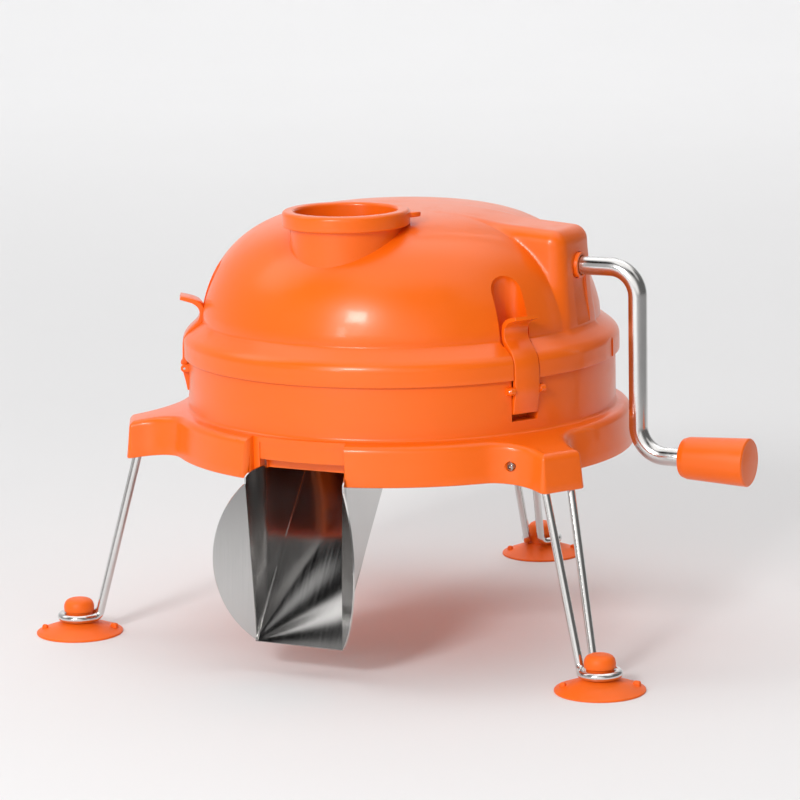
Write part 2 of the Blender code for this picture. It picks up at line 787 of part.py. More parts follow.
def make_lid_cavity():
    """The inside of dome and hump, less the tube, posts, bearing wall and pocket backs."""
    spigot_inner = DRUM_RADIUS - PLASTIC_WALL - LID_GAP - SPIGOT_WALL
    below = FLANGE_BOTTOM - PLASTIC_WALL
    crease = dome_crease()
    profile = [(spigot_inner, below), (spigot_inner, FLANGE_FACE_TOP + 1.0)]
    profile.append((crease[0] - PLASTIC_WALL, crease[1]))
    profile += dome_profile(PLASTIC_WALL, DOME_FOOT_ANGLE, DOME_INNER_STEPS)
    bm = bmesh.new()
    add_rings(bm, revolve_rings(profile, LID_INNER_SEGMENTS))
    cavity = object_from_mesh("lid_cavity", bm)
    hump = bmesh.new()
    add_rings(hump, hump_rings(PLASTIC_WALL))
    join(cavity, object_from_mesh("hump_inside", hump))
    kept = bmesh.new()
    above = DOME_TOP + PLASTIC_WALL
    tube_bottom = DISC_BOTTOM + DISC_THICKNESS + CHIMNEY_DISC_GAP
    tube = [(CHIMNEY_BORE + CHIMNEY_WALL, z) for z in (tube_bottom, above)]
    add_rings(kept, revolve_rings(tube, CHIMNEY_SEGMENTS, (0.0, -CHIMNEY_DISTANCE)))
    boss = spindle_bush_bore() + BOSS_WALL
    add_rings(kept, revolve_rings([(boss, TOP_BUSH_BOTTOM), (boss, above)], BUSH_SEGMENTS))
    for azimuth in POST_AZIMUTHS:
        centre = polar(POST_DISTANCE, azimuth)
        post = [(POST_RADIUS, z) for z in (COVER_TOP + SEAT_GAP, above)]
        add_rings(kept, revolve_rings(post, SMALL_SEGMENTS, centre))
    wall_end = INNER_WALL_START + INNER_WALL_THICKNESS
    wall_side = HUMP_HALF_WIDTH + PLASTIC_WALL
    wall_foot = CRANK_HEIGHT - HUMP_HALF_WIDTH + PLASTIC_WALL
    add_box(kept, (INNER_WALL_START, -wall_side, wall_foot), (wall_end, wall_side, above))
    side = POCKET_HALF_WIDTH + POCKET_WALL
    for azimuth in leg_azimuths():
        low = (POCKET_DISTANCE - POCKET_WALL, -side, POCKET_BOTTOM - POCKET_WALL)
        high = (DOME_RADIUS + PLASTIC_WALL, side, POCKET_SHOULDER + side)
        add_turned_box(kept, low, high, azimuth)
    cut(cavity, object_from_mesh("lid_kept", kept))
    return cavity


def lid_openings():
    """Groove for the drum's edge, feed bore, bearing bores, screw holes and latch pockets."""
    bm = bmesh.new()
    spigot_outer = DRUM_RADIUS - PLASTIC_WALL - LID_GAP
    lip = DRUM_RADIUS + LID_GAP
    below = FLANGE_BOTTOM - PLASTIC_WALL
    groove = tube_profile(lip, spigot_outer, below, DRUM_TOP + SEAT_GAP)
    add_rings(bm, revolve_rings(groove, LID_SEGMENTS), wrap=True)
    past = PLASTIC_WALL * 2
    bore_bottom = DISC_BOTTOM + DISC_THICKNESS
    mouth = CHIMNEY_RIM_ROUND
    bore = [
        (CHIMNEY_BORE, bore_bottom),
        (CHIMNEY_BORE, CHIMNEY_TOP - mouth),
        (CHIMNEY_BORE + mouth, CHIMNEY_TOP),
        (CHIMNEY_BORE + mouth, CHIMNEY_TOP + past),
    ]
    add_rings(bm, revolve_rings(bore, CHIMNEY_SEGMENTS, (0.0, -CHIMNEY_DISTANCE)))
    bush = spindle_bush_bore()
    hole = [(bush, TOP_BUSH_BOTTOM - past), (bush, TOP_BUSH_TOP + SEAT_GAP)]
    add_rings(bm, revolve_rings(hole, BUSH_SEGMENTS))
    for azimuth in POST_AZIMUTHS:
        centre = polar(POST_DISTANCE, azimuth)
        radius = COVER_SCREW_RADIUS + SEAT_GAP
        depth = COVER_TOP + COVER_SCREW_LENGTH
        hole = [(radius, COVER_TOP - past), (radius, depth)]
        add_rings(bm, revolve_rings(hole, SMALL_SEGMENTS, centre))
    bush = CRANK_ROD_RADIUS + RUNNING_GAP + BUSH_WALL + SEAT_GAP
    start = (INNER_WALL_START - past, 0, CRANK_HEIGHT)
    add_rod(bm, start, (HUMP_END + past, 0, CRANK_HEIGHT), bush, BUSH_SEGMENTS)
    for azimuth in leg_azimuths():
        add_pocket(bm, azimuth)
    openings = object_from_mesh("lid_openings", bm)
    panel = bmesh.new()
    half = HUMP_PANEL_WIDTH / 2
    foot = FLANGE_FACE_TOP + 12.0
    rise = (CRANK_HEIGHT - foot) * HUMP_DRAFT
    low = HUMP_END + (HUMP_SHOULDER - foot) * HUMP_DRAFT - HUMP_PANEL_DEPTH
    outline = [
        (low, -half, foot),
        (low + past, -half, foot),
        (low + past, -half, CRANK_HEIGHT),
        (low - rise, -half, CRANK_HEIGHT),
    ]
    add_prism(panel, outline, (0, 0, 0), (0, HUMP_PANEL_WIDTH, 0))
    join(openings, object_from_mesh("hump_panel", panel))
    return openings


def add_pocket(bm, azimuth):
    """The finger pocket over a latch: a flat-backed recess with an arched top."""
    outline = [(-POCKET_HALF_WIDTH, POCKET_BOTTOM), (POCKET_HALF_WIDTH, POCKET_BOTTOM)]
    outline += arc((0, POCKET_SHOULDER), POCKET_HALF_WIDTH, 0, 180, 8)
    rings = []
    for distance in (POCKET_DISTANCE, FLANGE_RADIUS):
        rings.append(turn_about_z([(distance, y, z) for y, z in outline], azimuth))
    add_rings(bm, rings)


# Latches


def latch_outline():
    """The latch seen from the side, as (distance from the drum's axis, height)."""
    gap = SEAT_GAP + 0.1
    thick = LATCH_THICKNESS
    pin = (LATCH_PIN_DISTANCE, LATCH_PIN_HEIGHT)
    eye = LATCH_EYE_RADIUS
    face = FLANGE_RADIUS + gap
    shoulder = flange_profile()[-4:]
    hook = FLANGE_RADIUS - 8.6
    inside = [
        (pin[0] - eye - 1.0, pin[1] - LATCH_TAIL),
        (pin[0] - eye, pin[1]),
        (face - 0.9, FLANGE_BOTTOM - 0.5),
        (face, FLANGE_BOTTOM + FLANGE_CHAMFER),
        (face, shoulder[0][1] + 0.4),
        (shoulder[1][0] + gap, shoulder[1][1] + gap),
        (shoulder[2][0] + gap, shoulder[2][1] + gap),
        (shoulder[3][0] + gap * 0.5, shoulder[3][1] + gap * 1.2),
        (hook, FLANGE_FACE_TOP + 10.3),
        (hook - 0.2, LATCH_TAB_HEIGHT - 4.2),
        (hook + 1.0, LATCH_TAB_HEIGHT - 1.2),
        (hook + 3.2, LATCH_TAB_HEIGHT),
        (hook + LATCH_TAB_REACH, LATCH_TAB_HEIGHT + 0.6),
    ]
    outside = [
        (hook + LATCH_TAB_REACH + 1.0, LATCH_TAB_HEIGHT - 0.6),
        (hook + LATCH_TAB_REACH + 0.6, LATCH_TAB_HEIGHT - 3.0),
        (hook + 3.6, LATCH_TAB_HEIGHT - thick),
        (hook + thick, LATCH_TAB_HEIGHT - 4.6),
        (hook + thick + 0.2, FLANGE_FACE_TOP + 11.2),
        (shoulder[3][0] + thick * 0.95, shoulder[3][1] + thick),
        (shoulder[2][0] + thick * 0.95, shoulder[2][1] + thick * 0.9),
        (shoulder[1][0] + thick, shoulder[1][1] + thick * 0.4),
        (face + thick, shoulder[0][1]),
        (face + thick, FLANGE_BOTTOM + FLANGE_CHAMFER),
        (pin[0] + eye + 0.2, pin[1] + 1.4),
        (pin[0] + eye, pin[1] - 0.4),
        (pin[0] + eye * 0.3, pin[1] - eye * 1.1),
        (pin[0] - eye + thick - 1.2, pin[1] - LATCH_TAIL),
    ]
    return inside + outside


def make_latches(orange, steel):
    objects = []
    for number, azimuth in enumerate(leg_azimuths(), 1):
        origin = polar(LATCH_PIN_DISTANCE, azimuth, LATCH_PIN_HEIGHT)
        bm = bmesh.new()
        half = LATCH_HALF_WIDTH
        outline = latch_outline()
        rings = [turn_about_z([(x, y, z) for x, z in outline], azimuth) for y in (-half, half)]
        add_rings(bm, rings)
        latch = object_from_mesh(f"latch_{number}", bm, orange, origin)
        hole = bmesh.new()
        ends = [(LATCH_PIN_DISTANCE, y, LATCH_PIN_HEIGHT) for y in (-half - 2, half + 2)]
        ends = turn_about_z(ends, azimuth)
        add_rod(hole, ends[0], ends[1], LATCH_PIN_RADIUS + SEAT_GAP, SMALL_SEGMENTS)
        cut(latch, object_from_mesh(f"latch_hole_{number}", hole))
        pin = bmesh.new()
        side = LATCH_HALF_WIDTH + LATCH_SIDE_GAP + EAR_WIDTH
        ends = [(LATCH_PIN_DISTANCE, y, LATCH_PIN_HEIGHT) for y in (-side, side)]
        ends = turn_about_z(ends, azimuth)
        add_rod(pin, ends[0], ends[1], LATCH_PIN_RADIUS, SMALL_SEGMENTS)
        objects.append((latch, origin))
        object_from_mesh(f"latch_pin_{number}", pin, steel, origin)
    return objects


# Crank


def make_crank(orange, steel, nylon):
    axis = (CRANK_ARM_DISTANCE, 0.0, CRANK_HEIGHT)
    grip_height = CRANK_HEIGHT - CRANK_THROW
    rod_end = GRIP_START + GRIP_LENGTH - GRIP_END_WALL - RUNNING_GAP
    corners = [
        (CRANK_INNER_END, 0, CRANK_HEIGHT),
        (CRANK_ARM_DISTANCE, 0, CRANK_HEIGHT),
        (CRANK_ARM_DISTANCE, 0, grip_height),
        (rod_end, 0, grip_height),
    ]
    path = rounded_path(corners, (CRANK_BEND, CRANK_BEND), 6)
    wire("crank_rod", path, CRANK_ROD_RADIUS, 3, steel, axis)
    make_grip(orange, grip_height)
    make_bush("crank_bush", orange, hump_face() - 5.4, hump_face() + BUSH_PROUD, -1)
    inner_end = INNER_WALL_START + INNER_WALL_THICKNESS
    make_bush("inner_bush", nylon, INNER_WALL_START - 0.0, inner_end, -1)
    bore = CRANK_ROD_RADIUS + RUNNING_GAP
    start = PINION_HUB_END + SEAT_GAP
    end = INNER_WALL_START - BUSH_FLANGE_THICKNESS - SEAT_GAP * 2
    washer = [(start, bore), (start, bore + 3.2), (end, bore + 3.2), (end, bore)]
    along_x("thrust_washer", washer, BUSH_SEGMENTS, steel)


BUSH_FLANGE_THICKNESS = 1.8


def hump_face():
    return HUMP_END + (HUMP_SHOULDER - CRANK_HEIGHT) * HUMP_DRAFT


def along_x(name, profile, segments, material, height=None, origin=None, wrap=True):
    """A lathe shape about the crank's axis, from (x, radius) points."""
    height = CRANK_HEIGHT if height is None else height
    angles = np.arange(segments) * 2 * math.pi / segments
    rings = [
        np.stack(
            [np.full(segments, x), radius * np.cos(angles), height + radius * np.sin(angles)], 1
        )
        for x, radius in profile
    ]
    bm = bmesh.new()
    add_rings(bm, rings, wrap)
    return object_from_mesh(name, bm, material, origin or (profile[0][0], 0, height))


def make_bush(name, material, start, end, flange_side):
    """A plain bush in a wall, with its flange on the side that faces the lid's middle."""
    bore = CRANK_ROD_RADIUS + RUNNING_GAP
    outer = bore + BUSH_WALL
    flange = outer + BUSH_FLANGE
    lip = start + SEAT_GAP * flange_side
    back = lip + BUSH_FLANGE_THICKNESS * flange_side
    profile = [(back, bore), (back, flange), (lip, flange), (lip, outer), (end, outer), (end, bore)]
    along_x(name, profile, BUSH_SEGMENTS, material)


def make_grip(orange, height):
    end = GRIP_START + GRIP_LENGTH
    bore = CRANK_ROD_RADIUS + RUNNING_GAP
    inner, outer = GRIP_INNER_RADIUS, GRIP_OUTER_RADIUS
    deep = end - GRIP_END_WALL
    profile = [
        (deep, 0.3),
        (deep, bore),
        (GRIP_START, bore),
        (GRIP_START, inner - 3.4),
        (GRIP_START + 1.2, inner - 1.2),
        (GRIP_START + 3.8, inner),
        (end - 1.0, outer),
        (end, outer - 1.0),
        (end, 0.3),
    ]
    along_x("crank_grip", profile, 20, orange, height, (GRIP_START, 0, height))


# Bevel gears


def bevel_rings(teeth, mate_teeth, scale_points, tooth_phase):
    """Tooth rings of a bevel gear whose cone has its tip at the origin and opens along -Z."""
    pitch_radius = GEAR_MODULE * teeth / 2
    cone = math.atan2(teeth, mate_teeth)
    flank = math.tan(math.radians(TOOTH_PRESSURE_ANGLE))
    half_pitch = math.pi * GEAR_MODULE / 4 - TOOTH_BACKLASH / 4
    rings = []
    for scale in scale_points:
        ring = []
        for tooth in range(teeth):
            middle = 2 * math.pi * tooth / teeth + tooth_phase
            for side, level in ((-1, -TOOTH_DEDENDUM), (-1, TOOTH_ADDENDUM),
                                (1, TOOTH_ADDENDUM), (1, -TOOTH_DEDENDUM)):
                lift = level * GEAR_MODULE
                radius = pitch_radius + lift * math.cos(cone)
                drop = pitch_radius / math.tan(cone) - lift * math.sin(cone)
                angle = middle + side * (half_pitch - lift * flank) / radius
                x = scale * radius * math.cos(angle)
                ring.append((x, scale * radius * math.sin(angle), -scale * drop))
        rings.append(np.array(ring))
    return rings


def circle_like(ring, radius, height):
    """A plain ring with the same point angles as a tooth ring."""
    angles = np.arctan2(ring[:, 1], ring[:, 0])
    return np.stack([radius * np.cos(angles), radius * np.sin(angles), np.full(len(ring), height)], 1)


def inner_scale():
    cone_length = GEAR_MODULE * math.hypot(GEAR_TEETH, PINION_TEETH) / 2
    return 1.0 - GEAR_FACE / cone_length


def bevel_body(name, teeth, mate_teeth, bore, hub_end, phase, turn, material):
    """A bevel gear with its hub: made with the cone's tip at the origin and the hub towards -Z."""
    outer, inner = bevel_rings(teeth, mate_teeth, (1.0, inner_scale()), phase)
    front = inner[:, 2].min() - 0.2
    back = outer[:, 2].min() - 2.4
    web = np.hypot(outer[:, 0], outer[:, 1]).min() - 0.6
    face = np.hypot(inner[:, 0], inner[:, 1]).min() - 0.8
    crown = [circle_like(outer, web, back), outer, inner, circle_like(outer, face, front)]
    hub = revolve_rings([(GEAR_HUB_RADIUS, hub_end), (GEAR_HUB_RADIUS, back + 1.0)], BUSH_SEGMENTS)
    hole = revolve_rings([(bore, hub_end - 1.0), (bore, front + 1.0)], BUSH_SEGMENTS)
    apex = (0, 0, CRANK_HEIGHT)
    made = []
    for label, rings in ((name, crown), (name + "_hub", hub), (name + "_bore", hole)):
        bm = bmesh.new()
        add_rings(bm, [ring @ turn.T + apex for ring in rings])
        made.append(object_from_mesh(label, bm, material, apex))
    join(made[0], made[1])
    cut(made[0], made[2])
    return made[0]


def make_gears(nylon, steel):
    bore = SPINDLE_RADIUS + SEAT_GAP
    phase = math.pi / GEAR_TEETH
    hub_end = GEAR_HUB_BOTTOM - CRANK_HEIGHT
    teeth = (GEAR_TEETH, PINION_TEETH)
    gear = bevel_body("bevel_gear", *teeth, bore, hub_end, phase, np.eye(3), nylon)
    grub_height = GEAR_HUB_BOTTOM + 2.8
    grub_tool(gear, "gear_screw", steel, (0, -1, 0), (0, 0, grub_height), SPINDLE_RADIUS)

    bore = CRANK_ROD_RADIUS + SEAT_GAP
    turn = np.array([[0, 0, -1], [0, 1, 0], [-1, 0, 0]])
    teeth = (PINION_TEETH, GEAR_TEETH)
    pinion = bevel_body("bevel_pinion", *teeth, bore, -PINION_HUB_END, 0.0, turn, nylon)
    grub_place = (PINION_HUB_END - 4.0, 0, CRANK_HEIGHT)
    grub_tool(pinion, "pinion_screw", steel, (0, 0, 1), grub_place, CRANK_ROD_RADIUS)


def grub_tool(gear, name, steel, direction, place, shaft):
    """A grub screw in a gear's hub and its hole, from the shaft out to the hub's skin."""
    way = Vector(direction)
    place = Vector(place)
    hole = bmesh.new()
    end = place + way * (GEAR_HUB_RADIUS + 2)
    add_rod(hole, place + way * shaft / 2, end, GRUB_RADIUS + SEAT_GAP, SMALL_SEGMENTS)
    cut(gear, object_from_mesh(name + "_hole", hole))
    screw = bmesh.new()
    start = place + way * (shaft + SEAT_GAP)
    end = place + way * (GEAR_HUB_RADIUS - 0.4)
    add_rod(screw, start, end, GRUB_RADIUS, SMALL_SEGMENTS)
    object_from_mesh(name, screw, steel, start)


# Spindle, bearings and gear cover


def make_spindle(steel, nylon, orange):
    radius = SPINDLE_RADIUS
    collar_bottom = SPINDLE_COLLAR_TOP - SPINDLE_COLLAR_HEIGHT
    profile = [
        (radius - 1.0, SPINDLE_BOTTOM),
        (radius, SPINDLE_BOTTOM + 1.0),
        (radius, collar_bottom),
        (SPINDLE_COLLAR_RADIUS, collar_bottom),
        (SPINDLE_COLLAR_RADIUS, SPINDLE_COLLAR_TOP),
        (radius, SPINDLE_COLLAR_TOP),
        (radius, SPINDLE_TOP - 1.0),
        (radius - 1.0, SPINDLE_TOP),
    ]
    turned("spindle", profile, BUSH_SEGMENTS, steel, wrap=False)
    bore = radius + RUNNING_GAP
    outer = bore + SPINDLE_BUSH_WALL
    turned("top_bush", tube_profile(outer, bore, TOP_BUSH_BOTTOM, TOP_BUSH_TOP), BUSH_SEGMENTS, nylon)
    flange = outer + BUSH_FLANGE
    seat = COVER_TOP + SEAT_GAP
    lip = GEAR_HUB_BOTTOM - SEAT_GAP
    foot = COVER_BOSS_BOTTOM
    profile = [(bore, foot), (outer, foot), (outer, seat), (flange, seat), (flange, lip), (bore, lip)]
    turned("cover_bush", profile, BUSH_SEGMENTS, nylon)
    seat = BASE_BOSS_TOP + SEAT_GAP
    foot = FLOOR_UNDERSIDE + SEAT_GAP
    lip = seat + 2.0
    profile = [(bore, foot), (outer, foot), (outer, seat), (flange, seat), (flange, lip), (bore, lip)]
    turned("base_bush", profile, BUSH_SEGMENTS, nylon)
    make_gear_cover(orange, steel, outer + SEAT_GAP)


def make_gear_cover(orange, steel, bore):
    bottom = COVER_TOP - COVER_THICKNESS
    boss = bore + BOSS_WALL
    profile = [
        (bore, COVER_BOSS_BOTTOM),
        (boss, COVER_BOSS_BOTTOM),
        (boss, bottom),
        (COVER_RADIUS, bottom),
        (COVER_RADIUS, COVER_TOP),
        (bore, COVER_TOP),
    ]
    cover = turned("gear_cover", profile, 28, orange)
    tool = bmesh.new()
    radius = CHIMNEY_BORE + CHIMNEY_WALL + COVER_CHIMNEY_CLEARANCE
    bite = [(radius, COVER_BOSS_BOTTOM - 1.0), (radius, COVER_TOP + 1.0)]
    add_rings(tool, revolve_rings(bite, CHIMNEY_SEGMENTS, (0.0, -CHIMNEY_DISTANCE)))
    for azimuth in POST_AZIMUTHS:
        hole = COVER_SCREW_RADIUS + SEAT_GAP
        span = [(hole, bottom - 1.0), (hole, COVER_TOP + 1.0)]
        add_rings(tool, revolve_rings(span, SMALL_SEGMENTS, polar(POST_DISTANCE, azimuth)))
    cut(cover, object_from_mesh("cover_openings", tool))
    head = bottom - SEAT_GAP
    for number, azimuth in enumerate(POST_AZIMUTHS, 1):
        place = polar(POST_DISTANCE, azimuth)
        profile = [
            (COVER_SCREW_RADIUS * 1.7, head - 1.6),
            (COVER_SCREW_RADIUS * 2.0, head - 1.0),
            (COVER_SCREW_RADIUS * 2.0, head),
            (COVER_SCREW_RADIUS, head),
            (COVER_SCREW_RADIUS, head + COVER_SCREW_LENGTH),
        ]
        screw = bmesh.new()
        add_rings(screw, revolve_rings(profile, SMALL_SEGMENTS, place))
        object_from_mesh(f"cover_screw_{number}", screw, steel, (*place[:2], head))


# Cutting disc


def make_disc(steel, sheet, orange):
    bore = HUB_BOSS_RADIUS + SEAT_GAP
    top = DISC_BOTTOM + DISC_THICKNESS
    profile = tube_profile(DISC_RADIUS, bore, DISC_BOTTOM, top)
    disc = turned("cutting_disc", profile, 44, sheet)
    tool = bmesh.new()
    side = -BLADE_WIDTH / 2
    low = (side - BLADE_SLOT_WIDTH + BLADE_EDGE, -BLADE_START - BLADE_LENGTH, DISC_BOTTOM - 1)
    high = (side + BLADE_EDGE, -BLADE_START, top + 1)
    add_box(tool, low, high)
    for x, y in rivet_places():
        span = [(RIVET_RADIUS + SEAT_GAP, DISC_BOTTOM - 1), (RIVET_RADIUS + SEAT_GAP, top + 1)]
        add_rings(tool, revolve_rings(span, SMALL_SEGMENTS, (x, y)))
    cut(disc, object_from_mesh("disc_openings", tool))
    make_blade(steel, top)
    make_hub(orange)
    make_disc_rivets(steel, top)


def blade_rivet_places():
    side = BLADE_WIDTH / 2 - 3.6
    return [(side, -BLADE_START - BLADE_LENGTH * share) for share in (0.12, 0.88)]


def hub_rivet_places():
    return [polar(HUB_RIVET_DISTANCE, 30 + 120 * step)[:2] for step in range(3)]


def rivet_places():
    return blade_rivet_places() + hub_rivet_places()


def make_blade(steel, disc_top):
    """The slicing blade: a raised flat with a ground edge over the slot and a foot on the disc."""
    half = BLADE_WIDTH / 2
    lift = disc_top + BLADE_LIFT
    seat = disc_top + SEAT_GAP
    thick = DISC_THICKNESS
    section = [
        (-half, lift),
        (-half + BLADE_EDGE, lift + thick),
        (half - 7.5, lift + thick),
        (half - 6.0, seat + thick),
        (half, seat + thick),
        (half, seat),
        (half - 6.6, seat),
        (half - 8.0, lift),
    ]
    bm = bmesh.new()
    start, end = -BLADE_START, -BLADE_START - BLADE_LENGTH
    add_rings(bm, [[(x, y, z) for x, z in section] for y in (start, end)])
    blade = object_from_mesh("slicing_blade", bm, steel)
    tool = bmesh.new()
    for x, y in blade_rivet_places():
        span = [(RIVET_RADIUS + SEAT_GAP, seat - 1), (RIVET_RADIUS + SEAT_GAP, seat + thick + 1)]
        add_rings(tool, revolve_rings(span, SMALL_SEGMENTS, (x, y)))
    cut(blade, object_from_mesh("blade_holes", tool))


def make_hub(orange):
    bore = SPINDLE_RADIUS + SEAT_GAP
    flange_top = DISC_BOTTOM - SEAT_GAP
    flange_bottom = flange_top - HUB_FLANGE_THICKNESS
    top = SPINDLE_COLLAR_TOP - SPINDLE_COLLAR_HEIGHT - SEAT_GAP
    profile = [
        (bore, flange_bottom),
        (HUB_FLANGE_RADIUS - 0.8, flange_bottom),
        (HUB_FLANGE_RADIUS, flange_bottom + 0.8),
        (HUB_FLANGE_RADIUS, flange_top),
        (HUB_BOSS_RADIUS, flange_top),
        (HUB_BOSS_RADIUS, top),
        (bore, top),
    ]
    hub = turned("disc_hub", profile, 22, orange)
    tool = bmesh.new()
    for x, y in hub_rivet_places():
        radius = RIVET_RADIUS + SEAT_GAP
        span = [(radius, flange_bottom - 1), (radius, flange_top + 1)]
        add_rings(tool, revolve_rings(span, SMALL_SEGMENTS, (x, y)))
    cut(hub, object_from_mesh("hub_holes", tool))
    nut_top = flange_bottom - SEAT_GAP
    nut_bottom = nut_top - NUT_HEIGHT
    count = NUT_LOBES * 4
    angles = np.arange(count) * 2 * math.pi / count
    outer = NUT_RADIUS + 0.9 * np.cos(angles * NUT_LOBES)
    unit = np.stack([np.cos(angles), np.sin(angles)], 1)
    rings = [
        np.column_stack([unit * bore, np.full(count, nut_bottom)]),
        np.column_stack([unit * (outer - 0.8)[:, None], np.full(count, nut_bottom)]),
        np.column_stack([unit * outer[:, None], np.full(count, nut_bottom + 0.8)]),
        np.column_stack([unit * outer[:, None], np.full(count, nut_top)]),
        np.column_stack([unit * bore, np.full(count, nut_top)]),
    ]
    bm = bmesh.new()
    add_rings(bm, rings, wrap=True)
    object_from_mesh("disc_nut", bm, orange)


def make_disc_rivets(steel, disc_top):
    flange_bottom = DISC_BOTTOM - SEAT_GAP - HUB_FLANGE_THICKNESS
    blade_top = disc_top + SEAT_GAP + DISC_THICKNESS
    groups = (
        ("blade_rivet", blade_rivet_places(), DISC_BOTTOM, blade_top),
        ("hub_rivet", hub_rivet_places(), flange_bottom, disc_top),
    )
    for label, places, low, high in groups:
        for number, place in enumerate(places, 1):
            bm = bmesh.new()
            add_rivet(bm, place, low - SEAT_GAP, high + SEAT_GAP)
            object_from_mesh(f"{label}_{number}", bm, steel, (*place, low))


def add_rivet(bm, place, low, high):
    profile = [
        (RIVET_HEAD_RADIUS - 0.9, low - RIVET_HEAD_HEIGHT),
        (RIVET_HEAD_RADIUS, low),
        (RIVET_RADIUS, low),
        (RIVET_RADIUS, high),
        (RIVET_HEAD_RADIUS, high),
        (RIVET_HEAD_RADIUS - 0.9, high + RIVET_HEAD_HEIGHT),
    ]
    add_rings(bm, revolve_rings(profile, SMALL_SEGMENTS, place))


# Legs


def wire_distance(height):
    """Distance of the leg wire's middle line from the drum's axis at a height."""
    share = (WIRE_TOP - height) / (WIRE_TOP - RING_HEIGHT)
    return WIRE_KNEE_DISTANCE + (WIRE_FOOT_DISTANCE - WIRE_KNEE_DISTANCE) * share


def leg_path():
    """Half of the hairpin as corners, then the ring round the suction cup's neck."""
    corners = [
        (WIRE_END_DISTANCE, WIRE_TOP_SPREAD, WIRE_TOP),
        (WIRE_KNEE_DISTANCE, WIRE_TOP_SPREAD, WIRE_TOP),
        (WIRE_FOOT_DISTANCE, WIRE_FOOT_SPREAD, RING_HEIGHT),
    ]
    ring = arc((FOOT_DISTANCE, 0.0), RING_RADIUS, 180 - RING_OPENING, 0, 6)
    ring = [(x, y, RING_HEIGHT) for x, y in ring]
    half = rounded_path([*corners, ring[0]], (WIRE_TOP_BEND, WIRE_FOOT_BEND), 3)
    half = half[:-1] + [Vector(point) for point in ring]
    other = [Vector((point.x, -point.y, point.z)) for point in reversed(half[:-1])]
    return half + other


def cup_profile():
    """The rubber cup with its neck and knob, from the middle of its underside round to the top."""
    neck = RING_RADIUS - WIRE_RADIUS - SEAT_GAP
    seat = RING_HEIGHT - WIRE_RADIUS - SEAT_GAP
    shelf = RING_HEIGHT + WIRE_RADIUS + SEAT_GAP
    knob = neck + KNOB_OVERHANG
    hollow = seat - CUP_WALL
    return [
        (0.3, hollow),
        (CUP_BOSS_RADIUS, hollow - 0.4),
        (CUP_RADIUS - CUP_RIM_LAND, 0.0),
        (CUP_RADIUS, 0.0),
        (CUP_RADIUS, CUP_RIM_HEIGHT),
        (CUP_BOSS_RADIUS + 1.4, seat - 1.0),
        (CUP_BOSS_RADIUS - 1.0, seat),
        (neck, seat),
        (neck, shelf),
        (knob, shelf + 0.5),
        (knob * 0.95, shelf + KNOB_HEIGHT * 0.5),
        (knob * 0.62, shelf + KNOB_HEIGHT * 0.9),
        (0.3, shelf + KNOB_HEIGHT),
    ]


def make_legs(steel, rubber, dark):
    path = leg_path()
    head, tip = leg_screw_span()
    for number, azimuth in enumerate(leg_azimuths(), 1):
        placed = turn_about_z([tuple(point) for point in path], azimuth)
        foot = polar(FOOT_DISTANCE, azimuth)
        wire(f"leg_wire_{number}", placed, WIRE_RADIUS, 1, steel, foot)
        bm = bmesh.new()
        add_rings(bm, revolve_rings(cup_profile(), CUP_SEGMENTS, foot))
        cup = object_from_mesh(f"suction_cup_{number}", bm, rubber, foot)
        tabs = bmesh.new()
        for turn in (0, 180):
            place = np.array(foot) + polar(CUP_TAB_DISTANCE, CUP_TAB_AZIMUTH + turn)
            low = place + (-1.5, -1.2, CUP_RIM_HEIGHT * 0.5)
            high = place + (1.5, 1.2, CUP_RIM_HEIGHT + 3.6)
            add_box(tabs, low, high)
        join(cup, object_from_mesh(f"cup_tabs_{number}", tabs))
        shaft, wide = LEG_SCREW_RADIUS, LEG_SCREW_HEAD_RADIUS
        skin = head + 0.4
        shoulder = head - PLASTIC_WALL / 3 + SEAT_GAP
        spans = [(skin, wide - 0.5), (skin - 0.5, wide), (shoulder, wide), (shoulder, shaft)]
        screw = bmesh.new()
        rings = side_rings([*spans, (tip, shaft)], azimuth)
        add_rings(screw, rings)
        object_from_mesh(f"leg_screw_{number}", screw, dark, tuple(rings[0].mean(axis=0)))


# Chute


def chute_half_width():
    return THROAT_HALF_WIDTH + CHUTE_THROAT_GAP


